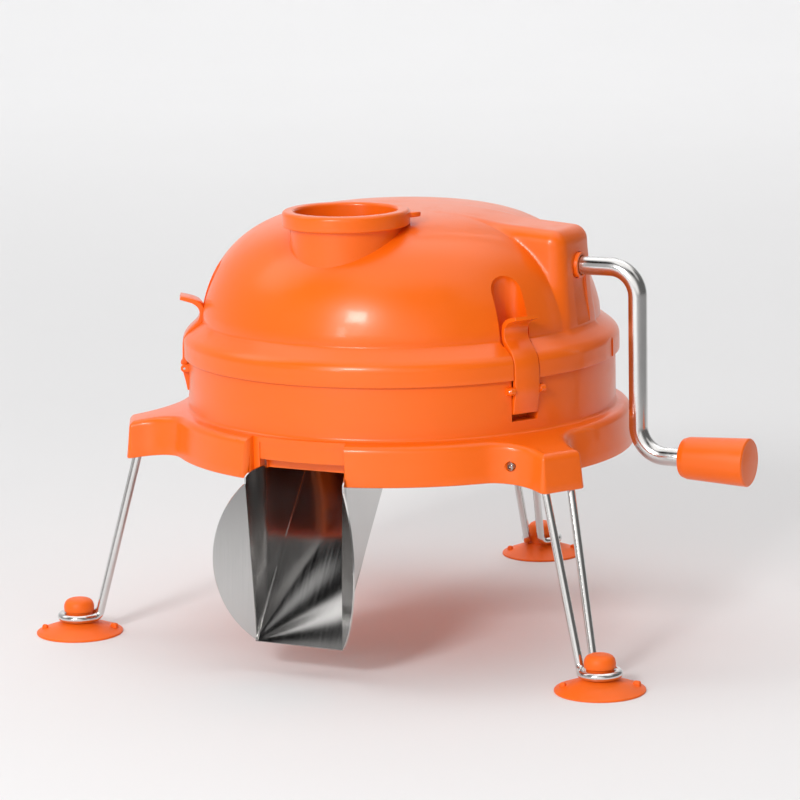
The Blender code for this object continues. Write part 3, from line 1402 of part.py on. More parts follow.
def make_chute(sheet, steel):
    inner = chute_half_width()
    outer = inner + SHEET
    back = THROAT_BACK - CHUTE_THROAT_GAP
    rib_inner = DRUM_RADIUS + RIB_RING_OUT - PLASTIC_WALL
    top_front = math.sqrt(rib_inner**2 - outer**2) - 1.2
    lip = CHUTE_LIP_DISTANCE
    side = [
        (-lip, CHUTE_LIP_HEIGHT),
        (-back, CHUTE_RAMP_TOP),
        (-back, CHUTE_TOP),
        (-top_front, CHUTE_TOP),
        (-top_front, CHUTE_NOSE_HEIGHT + 0.5),
    ]
    nose = arc((-top_front, CHUTE_WING_TOP), 1.0, 90, 180, 4)
    reach = lip - top_front
    rise = CHUTE_NOSE_HEIGHT - CHUTE_WING_TOP
    side += [
        (-top_front + (y + top_front) * reach, CHUTE_WING_TOP + (z - CHUTE_WING_TOP) * rise)
        for y, z in nose
    ]
    bm = bmesh.new()
    for sign in (-1, 1):
        outline = [(sign * inner, y, z) for y, z in side]
        add_prism(bm, outline, (0, 0, 0), (sign * SHEET, 0, 0))
    chute = object_from_mesh("chute", bm, sheet)
    slope = Vector((0, lip - back, CHUTE_RAMP_TOP - CHUTE_LIP_HEIGHT)).normalized()
    under = Vector((0, slope.z, -slope.y)) * SHEET
    floor = bmesh.new()
    reach = inner + SHEET / 2
    ramp = [
        (-reach, -lip, CHUTE_LIP_HEIGHT),
        (-reach, -back, CHUTE_RAMP_TOP),
        (-reach, -back, CHUTE_TOP),
        (-reach, -back + SHEET, CHUTE_TOP),
        (-reach, -back + SHEET, CHUTE_RAMP_TOP - 0.3),
        (-reach, -lip + under.y, CHUTE_LIP_HEIGHT + under.z),
    ]
    add_prism(floor, ramp, (0, 0, 0), (2 * reach, 0, 0))
    join(chute, object_from_mesh("chute_ramp", floor))
    wings = bmesh.new()
    for sign in (-1, 1):
        add_wing(wings, sign, inner + SHEET / 2, lip)
    join(chute, object_from_mesh("chute_wings", wings))
    holes = bmesh.new()
    number = 0
    for place in CHUTE_RIVET_PLACES:
        for sign in (-1, 1):
            number += 1
            rivet = bmesh.new()
            start = Vector((sign * (inner - 2), -place, CHUTE_RIVET_HEIGHT))
            end = Vector((sign * (outer + 2), -place, CHUTE_RIVET_HEIGHT))
            add_rod(holes, start, end, RIVET_RADIUS + SEAT_GAP, SMALL_SEGMENTS)
            add_side_rivet(rivet, sign, place, outer)
            object_from_mesh(f"chute_rivet_{number}", rivet, steel, tuple(start))
    cut(chute, object_from_mesh("chute_holes", holes))


def add_wing(bm, sign, fold, lip):
    """A D-shaped wing that flares out of a side wall's front edge."""
    low, high = CHUTE_LIP_HEIGHT + 0.6, CHUTE_WING_TOP
    half = (high - low) / 2
    radius = (half**2 + WING_SAGITTA**2) / (2 * WING_SAGITTA)
    spread = math.degrees(math.asin(half / radius))
    rim = arc((WING_SAGITTA - radius, (low + high) / 2), radius, -spread, spread, WING_STEPS)
    turn = math.radians(WING_ANGLE)
    way = np.array((sign * math.sin(turn), -math.cos(turn)))
    across = np.array((way[1], -way[0])) * SHEET / 2
    rings = []
    for shift in (-across, across):
        ring = []
        for reach, height in rim:
            place = np.array((sign * fold, -lip)) + way * reach + shift
            ring.append((place[0], place[1], height))
        inside = np.array((sign * fold, -lip)) - way * SHEET * 0.4 + shift
        ring.append((inside[0], inside[1], high))
        ring.append((inside[0], inside[1], low))
        rings.append(ring)
    add_rings(bm, rings)


def add_side_rivet(bm, sign, place, outer):
    """A rivet through the chute's side wall and the throat's wall."""
    inside = THROAT_HALF_WIDTH - THROAT_WALL - SEAT_GAP
    outside = outer + SEAT_GAP
    profile = [
        (inside - RIVET_HEAD_HEIGHT, RIVET_HEAD_RADIUS - 0.7),
        (inside, RIVET_HEAD_RADIUS),
        (inside, RIVET_RADIUS),
        (outside, RIVET_RADIUS),
        (outside, RIVET_HEAD_RADIUS),
        (outside + RIVET_HEAD_HEIGHT, RIVET_HEAD_RADIUS - 0.7),
    ]
    angles = np.arange(SMALL_SEGMENTS) * 2 * math.pi / SMALL_SEGMENTS
    rings = []
    for x, radius in profile:
        rings.append(
            [
                (sign * x, -place + radius * math.cos(a), CHUTE_RIVET_HEIGHT + radius * math.sin(a))
                for a in angles
            ]
        )
    add_rings(bm, rings)


# Assembly


def add_axis(name, place, parent):
    empty = bpy.data.objects.new(name, None)
    empty.location = Vector(place) * MM
    empty.empty_display_size = 10 * MM
    bpy.context.scene.collection.objects.link(empty)
    adopt(empty, parent)
    return empty


def adopt(obj, parent):
    """Parents the object and keeps it where it is."""
    bpy.context.view_layer.update()
    obj.parent = parent
    obj.matrix_parent_inverse = parent.matrix_world.inverted() if parent else Matrix()


def assemble(latches):
    objects = {obj.name: obj for obj in bpy.data.objects}
    root = add_axis("assembly", (0, 0, 0), None)
    crank = add_axis("crank_axis", (CRANK_ARM_DISTANCE, 0, CRANK_HEIGHT), root)
    rotor = add_axis("rotor_axis", (0, 0, DISC_BOTTOM), root)
    grip_height = CRANK_HEIGHT - CRANK_THROW
    grip = add_axis("grip_axis", (GRIP_START, 0, grip_height), crank)
    groups = {
        crank: ("crank_rod", "bevel_pinion", "pinion_screw", "thrust_washer"),
        rotor: (
            "bevel_gear",
            "gear_screw",
            "spindle",
            "disc_hub",
            "cutting_disc",
            "slicing_blade",
            "blade_rivet_1",
            "blade_rivet_2",
            "hub_rivet_1",
            "hub_rivet_2",
            "hub_rivet_3",
            "disc_nut",
        ),
        grip: ("crank_grip",),
    }
    placed = set()
    for parent, names in groups.items():
        for name in names:
            adopt(objects[name], parent)
            placed.add(name)
    for number, (latch, origin) in enumerate(latches, 1):
        axis = add_axis(f"latch_axis_{number}", origin, root)
        adopt(latch, axis)
        placed.add(latch.name)
    for name, obj in objects.items():
        if name not in placed:
            adopt(obj, root)
    return root


def centre_footprint(root):
    """Moves the assembly so that the middle of its footprint is the origin."""
    bpy.context.view_layer.update()
    graph = bpy.context.evaluated_depsgraph_get()
    low, high = np.full(3, np.inf), np.full(3, -np.inf)
    for obj in bpy.context.view_layer.objects:
        if obj.type == "EMPTY" or obj.hide_render:
            continue
        evaluated = obj.evaluated_get(graph)
        mesh = evaluated.to_mesh()
        points = np.empty(len(mesh.vertices) * 3)
        mesh.vertices.foreach_get("co", points)
        world = np.array(evaluated.matrix_world)
        points = points.reshape(-1, 3) @ world[:3, :3].T + world[:3, 3]
        low = np.minimum(low, points.min(axis=0))
        high = np.maximum(high, points.max(axis=0))
        evaluated.to_mesh_clear()
    middle = (low + high) / 2
    root.location = (-middle[0], -middle[1], -low[2])
    bpy.context.view_layer.update()
    return root.location


def main():
    clear_scene()
    orange = make_material("orange_plastic", ORANGE, 0.32, 0.0)
    rubber = make_material("orange_rubber", ORANGE_RUBBER, 0.5, 0.0)
    steel = make_material("polished_steel", STEEL, 0.12, 1.0)
    sheet = make_material("sheet_steel", SHEET_STEEL, 0.3, 1.0)
    nylon = make_material("white_nylon", NYLON, 0.4, 0.0)
    dark = make_material("dark_steel", DARK_STEEL, 0.35, 1.0)
    make_base(orange)
    make_lid(orange)
    latches = make_latches(orange, steel)
    make_crank(orange, steel, nylon)
    make_gears(nylon, steel)
    make_spindle(steel, nylon, orange)
    make_disc(steel, sheet, orange)
    make_legs(steel, rubber, dark)
    make_chute(sheet, steel)
    root = assemble(latches)
    centre_footprint(root)


main()
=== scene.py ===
"""Rotary vegetable cutter: the finished surfaces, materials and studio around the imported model.

Shapes are worked out in millimetres with the drum's axis on the Z axis, the crank along +X and the
chute towards -Y. put_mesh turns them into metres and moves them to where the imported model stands.
"""

import math

import bpy
import numpy as np
from bpy.props import FloatProperty, FloatVectorProperty, PointerProperty
from mathutils import Matrix, Vector


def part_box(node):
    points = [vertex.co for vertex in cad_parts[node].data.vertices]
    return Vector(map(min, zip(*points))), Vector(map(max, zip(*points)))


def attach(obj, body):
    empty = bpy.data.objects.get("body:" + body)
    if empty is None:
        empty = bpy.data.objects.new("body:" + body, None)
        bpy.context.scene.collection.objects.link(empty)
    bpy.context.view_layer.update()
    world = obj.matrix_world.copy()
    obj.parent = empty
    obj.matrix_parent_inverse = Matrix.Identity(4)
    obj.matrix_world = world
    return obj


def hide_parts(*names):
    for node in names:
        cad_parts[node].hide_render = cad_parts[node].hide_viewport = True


bl_info = {
    "name": "Rotary Vegetable Cutter",
    "version": (1, 0, 0),
    "blender": (4, 5, 0),
    "location": "View3D > Sidebar > Cutter",
    "description": "Builds a hand-cranked rotary vegetable cutter and its studio",
    "category": "Add Mesh",
}

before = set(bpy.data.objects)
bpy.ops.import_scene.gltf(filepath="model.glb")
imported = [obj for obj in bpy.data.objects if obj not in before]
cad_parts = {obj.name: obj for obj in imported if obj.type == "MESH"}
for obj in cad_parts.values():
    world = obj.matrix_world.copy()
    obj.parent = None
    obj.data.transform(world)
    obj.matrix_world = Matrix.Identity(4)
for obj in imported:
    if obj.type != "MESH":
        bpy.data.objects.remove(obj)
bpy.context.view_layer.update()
SPINDLE_LOW, SPINDLE_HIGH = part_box("spindle")
SHIFT = np.array(
    [(SPINDLE_LOW[0] + SPINDLE_HIGH[0]) / 2, (SPINDLE_LOW[1] + SPINDLE_HIGH[1]) / 2, 0.0]
)
MM = 0.001
# azimuth of each lobe, which carries a leg, a cup and a latch
LEGS = {1: 90.0, 2: 210.0, 3: 330.0}
LATCH_BODIES = {1: "latch_back", 2: "latch_left", 3: "latch_right"}


# Settings


class LidSettings(bpy.types.PropertyGroup):
    dome_radius: FloatProperty(
        name="Dome radius", description="Radius of the dome at its foot, in millimetres",
        default=104.5, min=60.0,
    )
    dome_top: FloatProperty(
        name="Dome top", description="Height of the dome's top above the floor, in millimetres",
        default=220.3, min=180.0,
    )
    blend: FloatProperty(
        name="Hump blend", description="How softly the gear hump runs into the dome, in millimetres",
        default=3.2, min=0.5,
    )
    wall: FloatProperty(
        name="Wall", description="Thickness of the lid, in millimetres", default=2.4, min=0.8
    )


class BaseSettings(bpy.types.PropertyGroup):
    drum_radius: FloatProperty(
        name="Drum radius", description="Outside of the drum, in millimetres", default=110.4
    )
    corner_round: FloatProperty(
        name="Skirt rounding", description="Radius of the plate's upper edge, in millimetres",
        default=3.2, min=0.5,
    )


class MetalSettings(bpy.types.PropertyGroup):
    rod_radius: FloatProperty(
        name="Crank rod radius", description="In millimetres", default=4.75, min=1.0
    )
    wire_radius: FloatProperty(
        name="Leg wire radius", description="In millimetres", default=2.1, min=0.5
    )
    sheet: FloatProperty(
        name="Sheet thickness", description="Sheet steel of the chute, in millimetres", default=0.8
    )


class FinishSettings(bpy.types.PropertyGroup):
    orange: FloatVectorProperty(
        name="Orange", description="Colour of the moulded plastic",
        subtype="COLOR", size=3, default=(0.94, 0.145, 0.003),
    )
    rubber: FloatVectorProperty(
        name="Rubber", description="Colour of the suction cups",
        subtype="COLOR", size=3, default=(0.95, 0.145, 0.006),
    )
    steel: FloatVectorProperty(
        name="Steel", description="Colour of the bright steel",
        subtype="COLOR", size=3, default=(0.72, 0.71, 0.7),
    )
    gloss: FloatProperty(
        name="Plastic roughness", description="Roughness of the moulded plastic",
        subtype="FACTOR", default=0.3, min=0.0, max=1.0,
    )


class StudioSettings(bpy.types.PropertyGroup):
    key_power: FloatProperty(
        name="Key light", description="Power of the key light", subtype="POWER", default=16.0
    )
    fill_power: FloatProperty(
        name="Backdrop light", description="Power of the backdrop light",
        subtype="POWER", default=46.0,
    )
    strip_power: FloatProperty(
        name="Strip light", description="Power of the low strip light",
        subtype="POWER", default=3.0,
    )
    surround: FloatProperty(
        name="Surround", description="Brightness of the white surroundings", default=0.92, min=0.0
    )
    floor: FloatVectorProperty(
        name="Floor", description="Colour of the floor",
        subtype="COLOR", size=3, default=(0.81, 0.812, 0.82),
    )


# Arrays and meshes


def polar(radius, azimuth, height=0.0):
    angle = math.radians(azimuth)
    return np.array([radius * math.cos(angle), radius * math.sin(angle), height])


def turned(points, azimuth):
    """The points turned about the drum's axis: the usual rotation matrix times each row."""
    c, s = math.cos(math.radians(azimuth)), math.sin(math.radians(azimuth))
    return np.asarray(points, float) @ np.array([[c, s, 0], [-s, c, 0], [0, 0, 1]])


def arc(centre, radius, start, end, steps):
    """Points at equal angles on a circle, both ends included."""
    angles = np.radians(np.linspace(start, end, steps + 1))
    return np.stack([centre[0] + radius * np.cos(angles), centre[1] + radius * np.sin(angles)], 1)


def unit_rows(rows):
    return rows / np.linalg.norm(rows, axis=1)[:, None]


def ring_at(plan, height):
    """A ring over the plan, at one height or at a height that follows the distance."""
    radii = np.hypot(plan[:, 0], plan[:, 1])
    return np.column_stack([plan, height(radii) if callable(height) else 0 * radii + height])


def eased(points, passes):
    """Corner cutting: each pass puts points at a quarter and three quarters of every side."""
    points = np.asarray(points, float)
    for _ in range(passes):
        near = points[:-1] * 0.75 + points[1:] * 0.25
        far = points[:-1] * 0.25 + points[1:] * 0.75
        inner = np.stack([near, far], 1).reshape(-1, points.shape[1])
        points = np.vstack([points[:1], inner, points[-1:]])
    return points


def filleted(corners, radii, steps):
    """A polyline whose inner corners become arcs: each arc is centred on its corner's bisector."""
    corners = np.asarray(corners, float)
    path = [corners[:1]]
    for index, radius in enumerate(np.broadcast_to(radii, len(corners) - 2)):
        corner = corners[index + 1]
        back, ahead = corners[index] - corner, corners[index + 2] - corner
        back, ahead = back / np.linalg.norm(back), ahead / np.linalg.norm(ahead)
        half = math.acos(np.clip(back @ ahead, -1, 1)) / 2
        if radius < 1e-6 or abs(half - math.pi / 2) < 1e-4:
            path.append(corner[None])
            continue
        centre = corner + (back + ahead) / np.linalg.norm(back + ahead) * radius / math.sin(half)
        first = corner + back * radius / math.tan(half) - centre
        last = corner + ahead * radius / math.tan(half) - centre
        sweep = math.pi - 2 * half
        share = np.linspace(0, 1, steps + 1)[:, None]
        path.append(
            centre + (first * np.sin((1 - share) * sweep) + last * np.sin(share * sweep))
            / math.sin(sweep)
        )
    path.append(corners[-1:])
    return np.vstack(path)


def lengths(path):
    """The length of the polyline from its start to each of its points."""
    return np.concatenate([[0], np.cumsum(np.linalg.norm(np.diff(path, axis=0), axis=1))])


def at_lengths(path, places):
    """The polyline's points at the given lengths from its start."""
    return np.stack([np.interp(places, lengths(path), column) for column in path.T], 1)


def evenly(path, step):
    """The polyline with points at about equal steps of its length between its own corners."""
    length = lengths(path)
    places = np.unique(np.round(np.concatenate([length, np.arange(0, length[-1], step)]), 3))
    return at_lengths(path, places)


def grid_quads(rows, columns, wrap_rows=False, wrap_columns=True, first=0):
    """Corner numbers of the quads between neighbouring rows and columns of a grid."""
    row = np.arange(rows if wrap_rows else rows - 1)
    column = np.arange(columns if wrap_columns else columns - 1)
    row, column = np.meshgrid(row, column, indexing="ij")
    above, after = (row + 1) % rows, (column + 1) % columns
    low, high = row * columns, above * columns
    quads = np.stack([low + column, low + after, high + after, high + column], -1)
    return quads.reshape(-1, 4) + first


def put_mesh(name, points, faces, sharp=40.0, place=True):
    """A mesh object from millimetre points; faces are arrays of corner numbers, of any width."""
    points = np.asarray(points, float) * MM + (SHIFT if place else 0)
    counts = np.concatenate([np.full(len(group), group.shape[1]) for group in faces])
    corners = np.concatenate([group.reshape(-1) for group in faces]).astype(np.int32)
    mesh = bpy.data.meshes.new(name)
    mesh.vertices.add(len(points))
    mesh.vertices.foreach_set("co", points.reshape(-1).astype(np.float32))
    mesh.loops.add(len(corners))
    mesh.loops.foreach_set("vertex_index", corners)
    mesh.polygons.add(len(counts))
    starts = np.concatenate([[0], np.cumsum(counts)[:-1]]).astype(np.int32)
    mesh.polygons.foreach_set("loop_start", starts)
    mesh.update(calc_edges=True)
    mesh.validate()
    outwards(mesh)
    obj = bpy.data.objects.new(name, mesh)
    bpy.context.scene.collection.objects.link(obj)
    soften(obj, sharp)
    return obj


def outwards(mesh):
    """Turns all faces round where the volume that they enclose is negative."""
    mesh.calc_loop_triangles()
    places = np.empty(len(mesh.vertices) * 3, np.float32)
    mesh.vertices.foreach_get("co", places)
    corners = np.empty(len(mesh.loop_triangles) * 3, np.int32)
    mesh.loop_triangles.foreach_get("vertices", corners)
    triangles = places.reshape(-1, 3).astype(float)[corners.reshape(-1, 3)]
    if np.linalg.det(triangles - places.reshape(-1, 3).mean(0)).sum() < 0:
        mesh.flip_normals()


def soften(obj, angle):
    """Smooth shading, with the edges sharper than the angle kept crisp."""
    mesh = obj.data
    mesh.polygons.foreach_set("use_smooth", np.ones(len(mesh.polygons), bool))
    mesh.set_sharp_from_angle(angle=math.radians(angle))


def closed_rings(rings, wrap=False):
    """Points and faces of equal rings joined one to the next; the ends get one face each."""
    rings = np.asarray(rings, float)
    rows, columns = rings.shape[:2]
    faces = [grid_quads(rows, columns, wrap_rows=wrap)]
    if not wrap:
        faces.append(np.arange(columns)[None, ::-1])
        faces.append(np.arange(columns)[None] + (rows - 1) * columns)
    return rings.reshape(-1, 3), faces


def several(parts):
    """Points and faces of several closed shapes as one list of each."""
    points, faces, count = [], [], 0
    for part_points, part_faces in parts:
        points.append(part_points)
        faces += [group + count for group in part_faces]
        count += len(part_points)
    return np.vstack(points), faces


def revolved(profile, sides, centre=(0.0, 0.0), wrap=True):
    """Each (radius, height) of the profile carried round a vertical axis."""
    profile = np.asarray(profile, float)
    angles = np.arange(sides) * 2 * math.pi / sides
    rings = np.empty((len(profile), sides, 3))
    rings[..., 0] = centre[0] + profile[:, :1] * np.cos(angles)
    rings[..., 1] = centre[1] + profile[:, :1] * np.sin(angles)
    rings[..., 2] = profile[:, 1:]
    return closed_rings(rings, wrap)


def about_x(profile, sides, height, wrap=True):
    """Each (x, radius) of the profile carried round an axis along X at the height."""
    points, faces = revolved(np.asarray(profile, float)[:, ::-1], sides, wrap=wrap)
    return np.stack([points[:, 2], points[:, 0], height + points[:, 1]], 1), faces


def prism(outline, offset):
    """A closed outline of 3D points carried straight along the offset."""
    outline = np.asarray(outline, float)
    return closed_rings(np.stack([outline, outline + np.asarray(offset, float)]))


def turned_shape(shape, azimuth):
    points, faces = shape
    return turned(points, azimuth), faces


def block(low, high, azimuth=0.0):
    """A box between two corners, turned about the drum's axis."""
    (x0, y0, z0), (x1, y1, z1) = low, high
    outline = [(x0, y0, z0), (x1, y0, z0), (x1, y1, z0), (x0, y1, z0)]
    return turned_shape(prism(outline, (0, 0, z1 - z0)), azimuth)


def tube(path, radius, sides):
    """A circle carried along a path: its axes turn with the path as little as they can.

    The radius falls to zero over a quarter ellipse at both ends, which rounds them off.
    """
    path = np.asarray(path, float)
    along = unit_rows(np.gradient(path, axis=0))
    seed = np.eye(3)[np.argmin(np.abs(along[0]))]
    normals = np.empty_like(path)
    normals[0] = np.cross(along[0], seed) / np.linalg.norm(np.cross(along[0], seed))
    for index in range(1, len(path)):
        flat = normals[index - 1] - along[index] * (normals[index - 1] @ along[index])
        normals[index] = flat / np.linalg.norm(flat)
    sideways = np.cross(along, normals)
    angles = np.arange(sides) * 2 * math.pi / sides
    ring = np.cos(angles)[None, :, None] * normals[:, None]
    ring = (ring + np.sin(angles)[None, :, None] * sideways[:, None]) * radius
    rings = [path[:, None] + ring]
    dome = 0.35 * radius
    for end, sign in ((0, -1), (-1, 1)):
        turns = np.radians([30, 55, 75, 88])
        cap = path[end] + sign * along[end] * (dome * np.sin(turns))[:, None, None]
        cap = cap + ring[end][None] * np.cos(turns)[:, None, None]
        rings = [cap[::-1], *rings] if sign < 0 else [*rings, cap]
    return closed_rings(np.vstack(rings))


def put_parts(name, parts, sharp=40.0):
    return put_mesh(name, *several(parts), sharp)


def at_side(outline, side):
    """The (distance, height) outline as 3D points at one place beside the middle."""
    return np.column_stack([outline[:, 0], np.full(len(outline), side), outline[:, 1]])


def finish_booleans(obj, steps, sharp=40.0):
    """Adds or takes away each closed shape, then keeps the result as the object's own mesh."""
    for operation, tool in steps:
        modifier = obj.modifiers.new("shape", "BOOLEAN")
        modifier.operation = operation
        modifier.solver = "MANIFOLD"
        modifier.object = tool
    graph = bpy.context.evaluated_depsgraph_get()
    mesh = bpy.data.meshes.new_from_object(obj.evaluated_get(graph))
    obj.modifiers.clear()
    old, obj.data = obj.data, mesh
    mesh.name = obj.name
    bpy.data.meshes.remove(old)
    for _, tool in steps:
        bpy.data.meshes.remove(tool.data)
    if not len(mesh.polygons):
        raise RuntimeError(f"{obj.name} has no faces left")
    soften(obj, sharp)
    return obj


def give_material(obj, name):
    obj.data.materials.clear()
    obj.data.materials.append(MATERIALS[name])


def dress(obj, body, material, node):
    """Gives a piece its body and material, and hides the imported node that it stands for."""
    give_material(obj, material)
    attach(obj, body)
    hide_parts(node)


# Materials


def new_group(name, inputs, outputs):
    """An empty shader node group with float inputs, as names and values, and float outputs."""
    group = bpy.data.node_groups.new(name, "ShaderNodeTree")
    for label, default in inputs.items():
        socket = group.interface.new_socket(label, in_out="INPUT", socket_type="NodeSocketFloat")
        socket.default_value = default
    for label in outputs:
        group.interface.new_socket(label, in_out="OUTPUT", socket_type="NodeSocketFloat")
    return group, group.nodes.new("NodeGroupInput"), group.nodes.new("NodeGroupOutput")


def feed(tree, value, socket):
    """Links another socket to this one, or puts a plain value on it."""
    if isinstance(value, bpy.types.NodeSocket):
        tree.links.new(value, socket)
    else:
        socket.default_value = value


def noise_node(tree, vector, scale, detail, roughness=0.55):
    noise = tree.nodes.new("ShaderNodeTexNoise")
    inputs = {"Vector": vector, "Scale": scale, "Detail": detail, "Roughness": roughness}
    for label, value in inputs.items():
        feed(tree, value, noise.inputs[label])
    return noise.outputs["Fac"]


def math_node(tree, operation, *values, clamp=False):
    node = tree.nodes.new("ShaderNodeMath")
    node.operation = operation
    node.use_clamp = clamp
    for socket, value in zip(node.inputs, values):
        feed(tree, value, socket)
    return node.outputs[0]


def ranged(tree, value, low, high, to_low=0.0, to_high=1.0):
    node = tree.nodes.new("ShaderNodeMapRange")
    inputs = {"Value": value, "From Min": low, "From Max": high, "To Min": to_low, "To Max": to_high}
    for label, number in inputs.items():
        feed(tree, number, node.inputs[label])
    return node.outputs["Result"]


def make_moulding_group():
    """Spark-eroded moulding skin: fine grain height, slow colour drift, and handling marks."""
    inputs = {"Grain Size": 1400.0, "Drift Size": 22.0, "Mark Size": 75.0, "Marks": 0.3}
    group, source, sink = new_group("moulding_skin", inputs, ("Grain", "Drift", "Marks"))
    where = group.nodes.new("ShaderNodeTexCoord").outputs["Object"]
    grain = noise_node(group, where, source.outputs["Grain Size"], 2.0, 0.6)
    wide = noise_node(group, where, source.outputs["Drift Size"], 2.0, 0.5)
    sink_mark = noise_node(group, where, 9.0, 1.0, 0.4)
    marks = noise_node(group, where, source.outputs["Mark Size"], 6.0, 0.72)
    height = math_node(group, "ADD", math_node(group, "MULTIPLY", sink_mark, 1.6), grain)
    worn = ranged(group, marks, 0.52, 0.78)
    worn = math_node(group, "MULTIPLY", worn, source.outputs["Marks"], clamp=True)
    feed(group, height, sink.inputs["Grain"])
    feed(group, ranged(group, wide, 0.3, 0.7), sink.inputs["Drift"])
    feed(group, worn, sink.inputs["Marks"])
    return group


def make_drawn_group():
    """Fine lines left on steel: noise squeezed along one axis, a slower smear and tiny pits."""
    inputs = {"Line Size": 900.0, "Stretch": 0.03, "Smear Size": 40.0, "Pit Size": 500.0}
    group, source, sink = new_group("drawn_steel", inputs, ("Lines", "Smear", "Pits"))
    where = group.nodes.new("ShaderNodeTexCoord").outputs["Object"]
    parts = group.nodes.new("ShaderNodeSeparateXYZ")
    joined = group.nodes.new("ShaderNodeCombineXYZ")
    feed(group, where, parts.inputs[0])
    feed(group, parts.outputs[0], joined.inputs[0])
    for axis in (1, 2):
        squeezed = math_node(group, "MULTIPLY", parts.outputs[axis], source.outputs["Stretch"])
        feed(group, squeezed, joined.inputs[axis])
    lines = noise_node(group, joined.outputs[0], source.outputs["Line Size"], 3.0, 0.7)
    smear = noise_node(group, where, source.outputs["Smear Size"], 3.0, 0.6)
    pits = noise_node(group, where, source.outputs["Pit Size"], 1.0, 0.5)
    feed(group, ranged(group, lines, 0.25, 0.75), sink.inputs["Lines"])
    feed(group, ranged(group, smear, 0.3, 0.7), sink.inputs["Smear"])
    feed(group, ranged(group, pits, 0.68, 0.8), sink.inputs["Pits"])
    return group


def new_material(name, **values):
    material = bpy.data.materials.new(name)
    material.use_nodes = True
    shader = material.node_tree.nodes["Principled BSDF"]
    for label, value in values.items():
        shader.inputs[label.replace("_", " ")].default_value = value
    return material, material.node_tree, shader


def mixed_colour(tree, factor, low, high):
    """A mix by the factor of two colours, of which the first can also be a socket."""
    node = tree.nodes.new("ShaderNodeMix")
    node.data_type = "RGBA"
    feed(tree, factor, node.inputs[0])
    feed(tree, (*low, 1.0) if isinstance(low, np.ndarray) else low, node.inputs[6])
    feed(tree, (*high, 1.0), node.inputs[7])
    return node.outputs[2]


def bumped(tree, height, strength, distance, shader):
    bump = tree.nodes.new("ShaderNodeBump")
    for label, value in {"Strength": strength, "Distance": distance, "Height": height}.items():
        feed(tree, value, bump.inputs[label])
    tree.links.new(bump.outputs["Normal"], shader.inputs["Normal"])


def placed_group(tree, group, values):
    node = tree.nodes.new("ShaderNodeGroup")
    node.node_tree = group
    for label, value in values.items():
        node.inputs[label].default_value = value
    return node


def vary(tree, shader, colour, rough, height, strength, distance):
    """Links what varies over a piece to its shader: colour, roughness and a fine height."""
    tree.links.new(colour, shader.inputs["Base Color"])
    tree.links.new(rough, shader.inputs["Roughness"])
    bumped(tree, height, strength, distance, shader)


def moulded(name, colour, roughness, group, bump, values, spread, **more):
    """A moulded material: colour drifts a little, marks roughen it, and grain lifts its skin."""
    material, tree, shader = new_material(name, **more)
    skin = placed_group(tree, group, values)
    colour = np.array(colour)
    low, high = colour * (1 - spread), np.minimum(colour * (1 + spread), 1.0)
    colour = mixed_colour(tree, skin.outputs["Drift"], low, high)
    rough = math_node(tree, "MULTIPLY_ADD", skin.outputs["Drift"], 0.05, roughness - 0.02)
    rough = math_node(tree, "ADD", rough, skin.outputs["Marks"], clamp=True)
    vary(tree, shader, colour, rough, skin.outputs["Grain"], bump, MOULD_GRAIN)
    MATERIALS[name] = material


def steely(name, colour, roughness, group, bump, sizes):
    """A steel: lines, a smear and pits vary the roughness, the smear its colour; lines lift it."""
    material, tree, shader = new_material(name, Metallic=1.0)
    labels = ("Line Size", "Stretch", "Smear Size", "Pit Size")
    lines = placed_group(tree, group, dict(zip(labels, sizes)))
    low, high = colour * 0.93, np.minimum(colour * 1.05, 1)
    colour = mixed_colour(tree, lines.outputs["Smear"], low, high)
    rough = math_node(tree, "MULTIPLY_ADD", lines.outputs["Lines"], 0.08, roughness - 0.04)
    rough = math_node(tree, "MULTIPLY_ADD", lines.outputs["Smear"], 0.06, rough)
    rough = math_node(tree, "MULTIPLY_ADD", lines.outputs["Pits"], 0.06, rough, clamp=True)
    vary(tree, shader, colour, rough, lines.outputs["Lines"], bump, DRAWN_LINES)
    MATERIALS[name] = material


# each material under its own name, which Blender may lengthen where the file already has one of that
# name
MATERIALS = {}
# depth of the grain on mouldings and of the lines on steel, in metres
MOULD_GRAIN, DRAWN_LINES = 0.00012, 0.00006
STEELS = (
    # name, share of the steel's colour, roughness, bump, sizes of lines, stretch, smear and pits
    ("polished_steel", 1.0, 0.13, 0.12, (1300.0, 0.12, 30.0, 700.0)),
    ("chute_steel", 0.85, 0.14, 0.04, (1800.0, 0.02, 16.0, 2200.0)),
    ("disc_steel", 0.92, 0.2, 0.25, (1100.0, 0.04, 35.0, 500.0)),
    ("screw_steel", 0.62, 0.24, 0.3, (2400.0, 0.4, 160.0, 1500.0)),
)


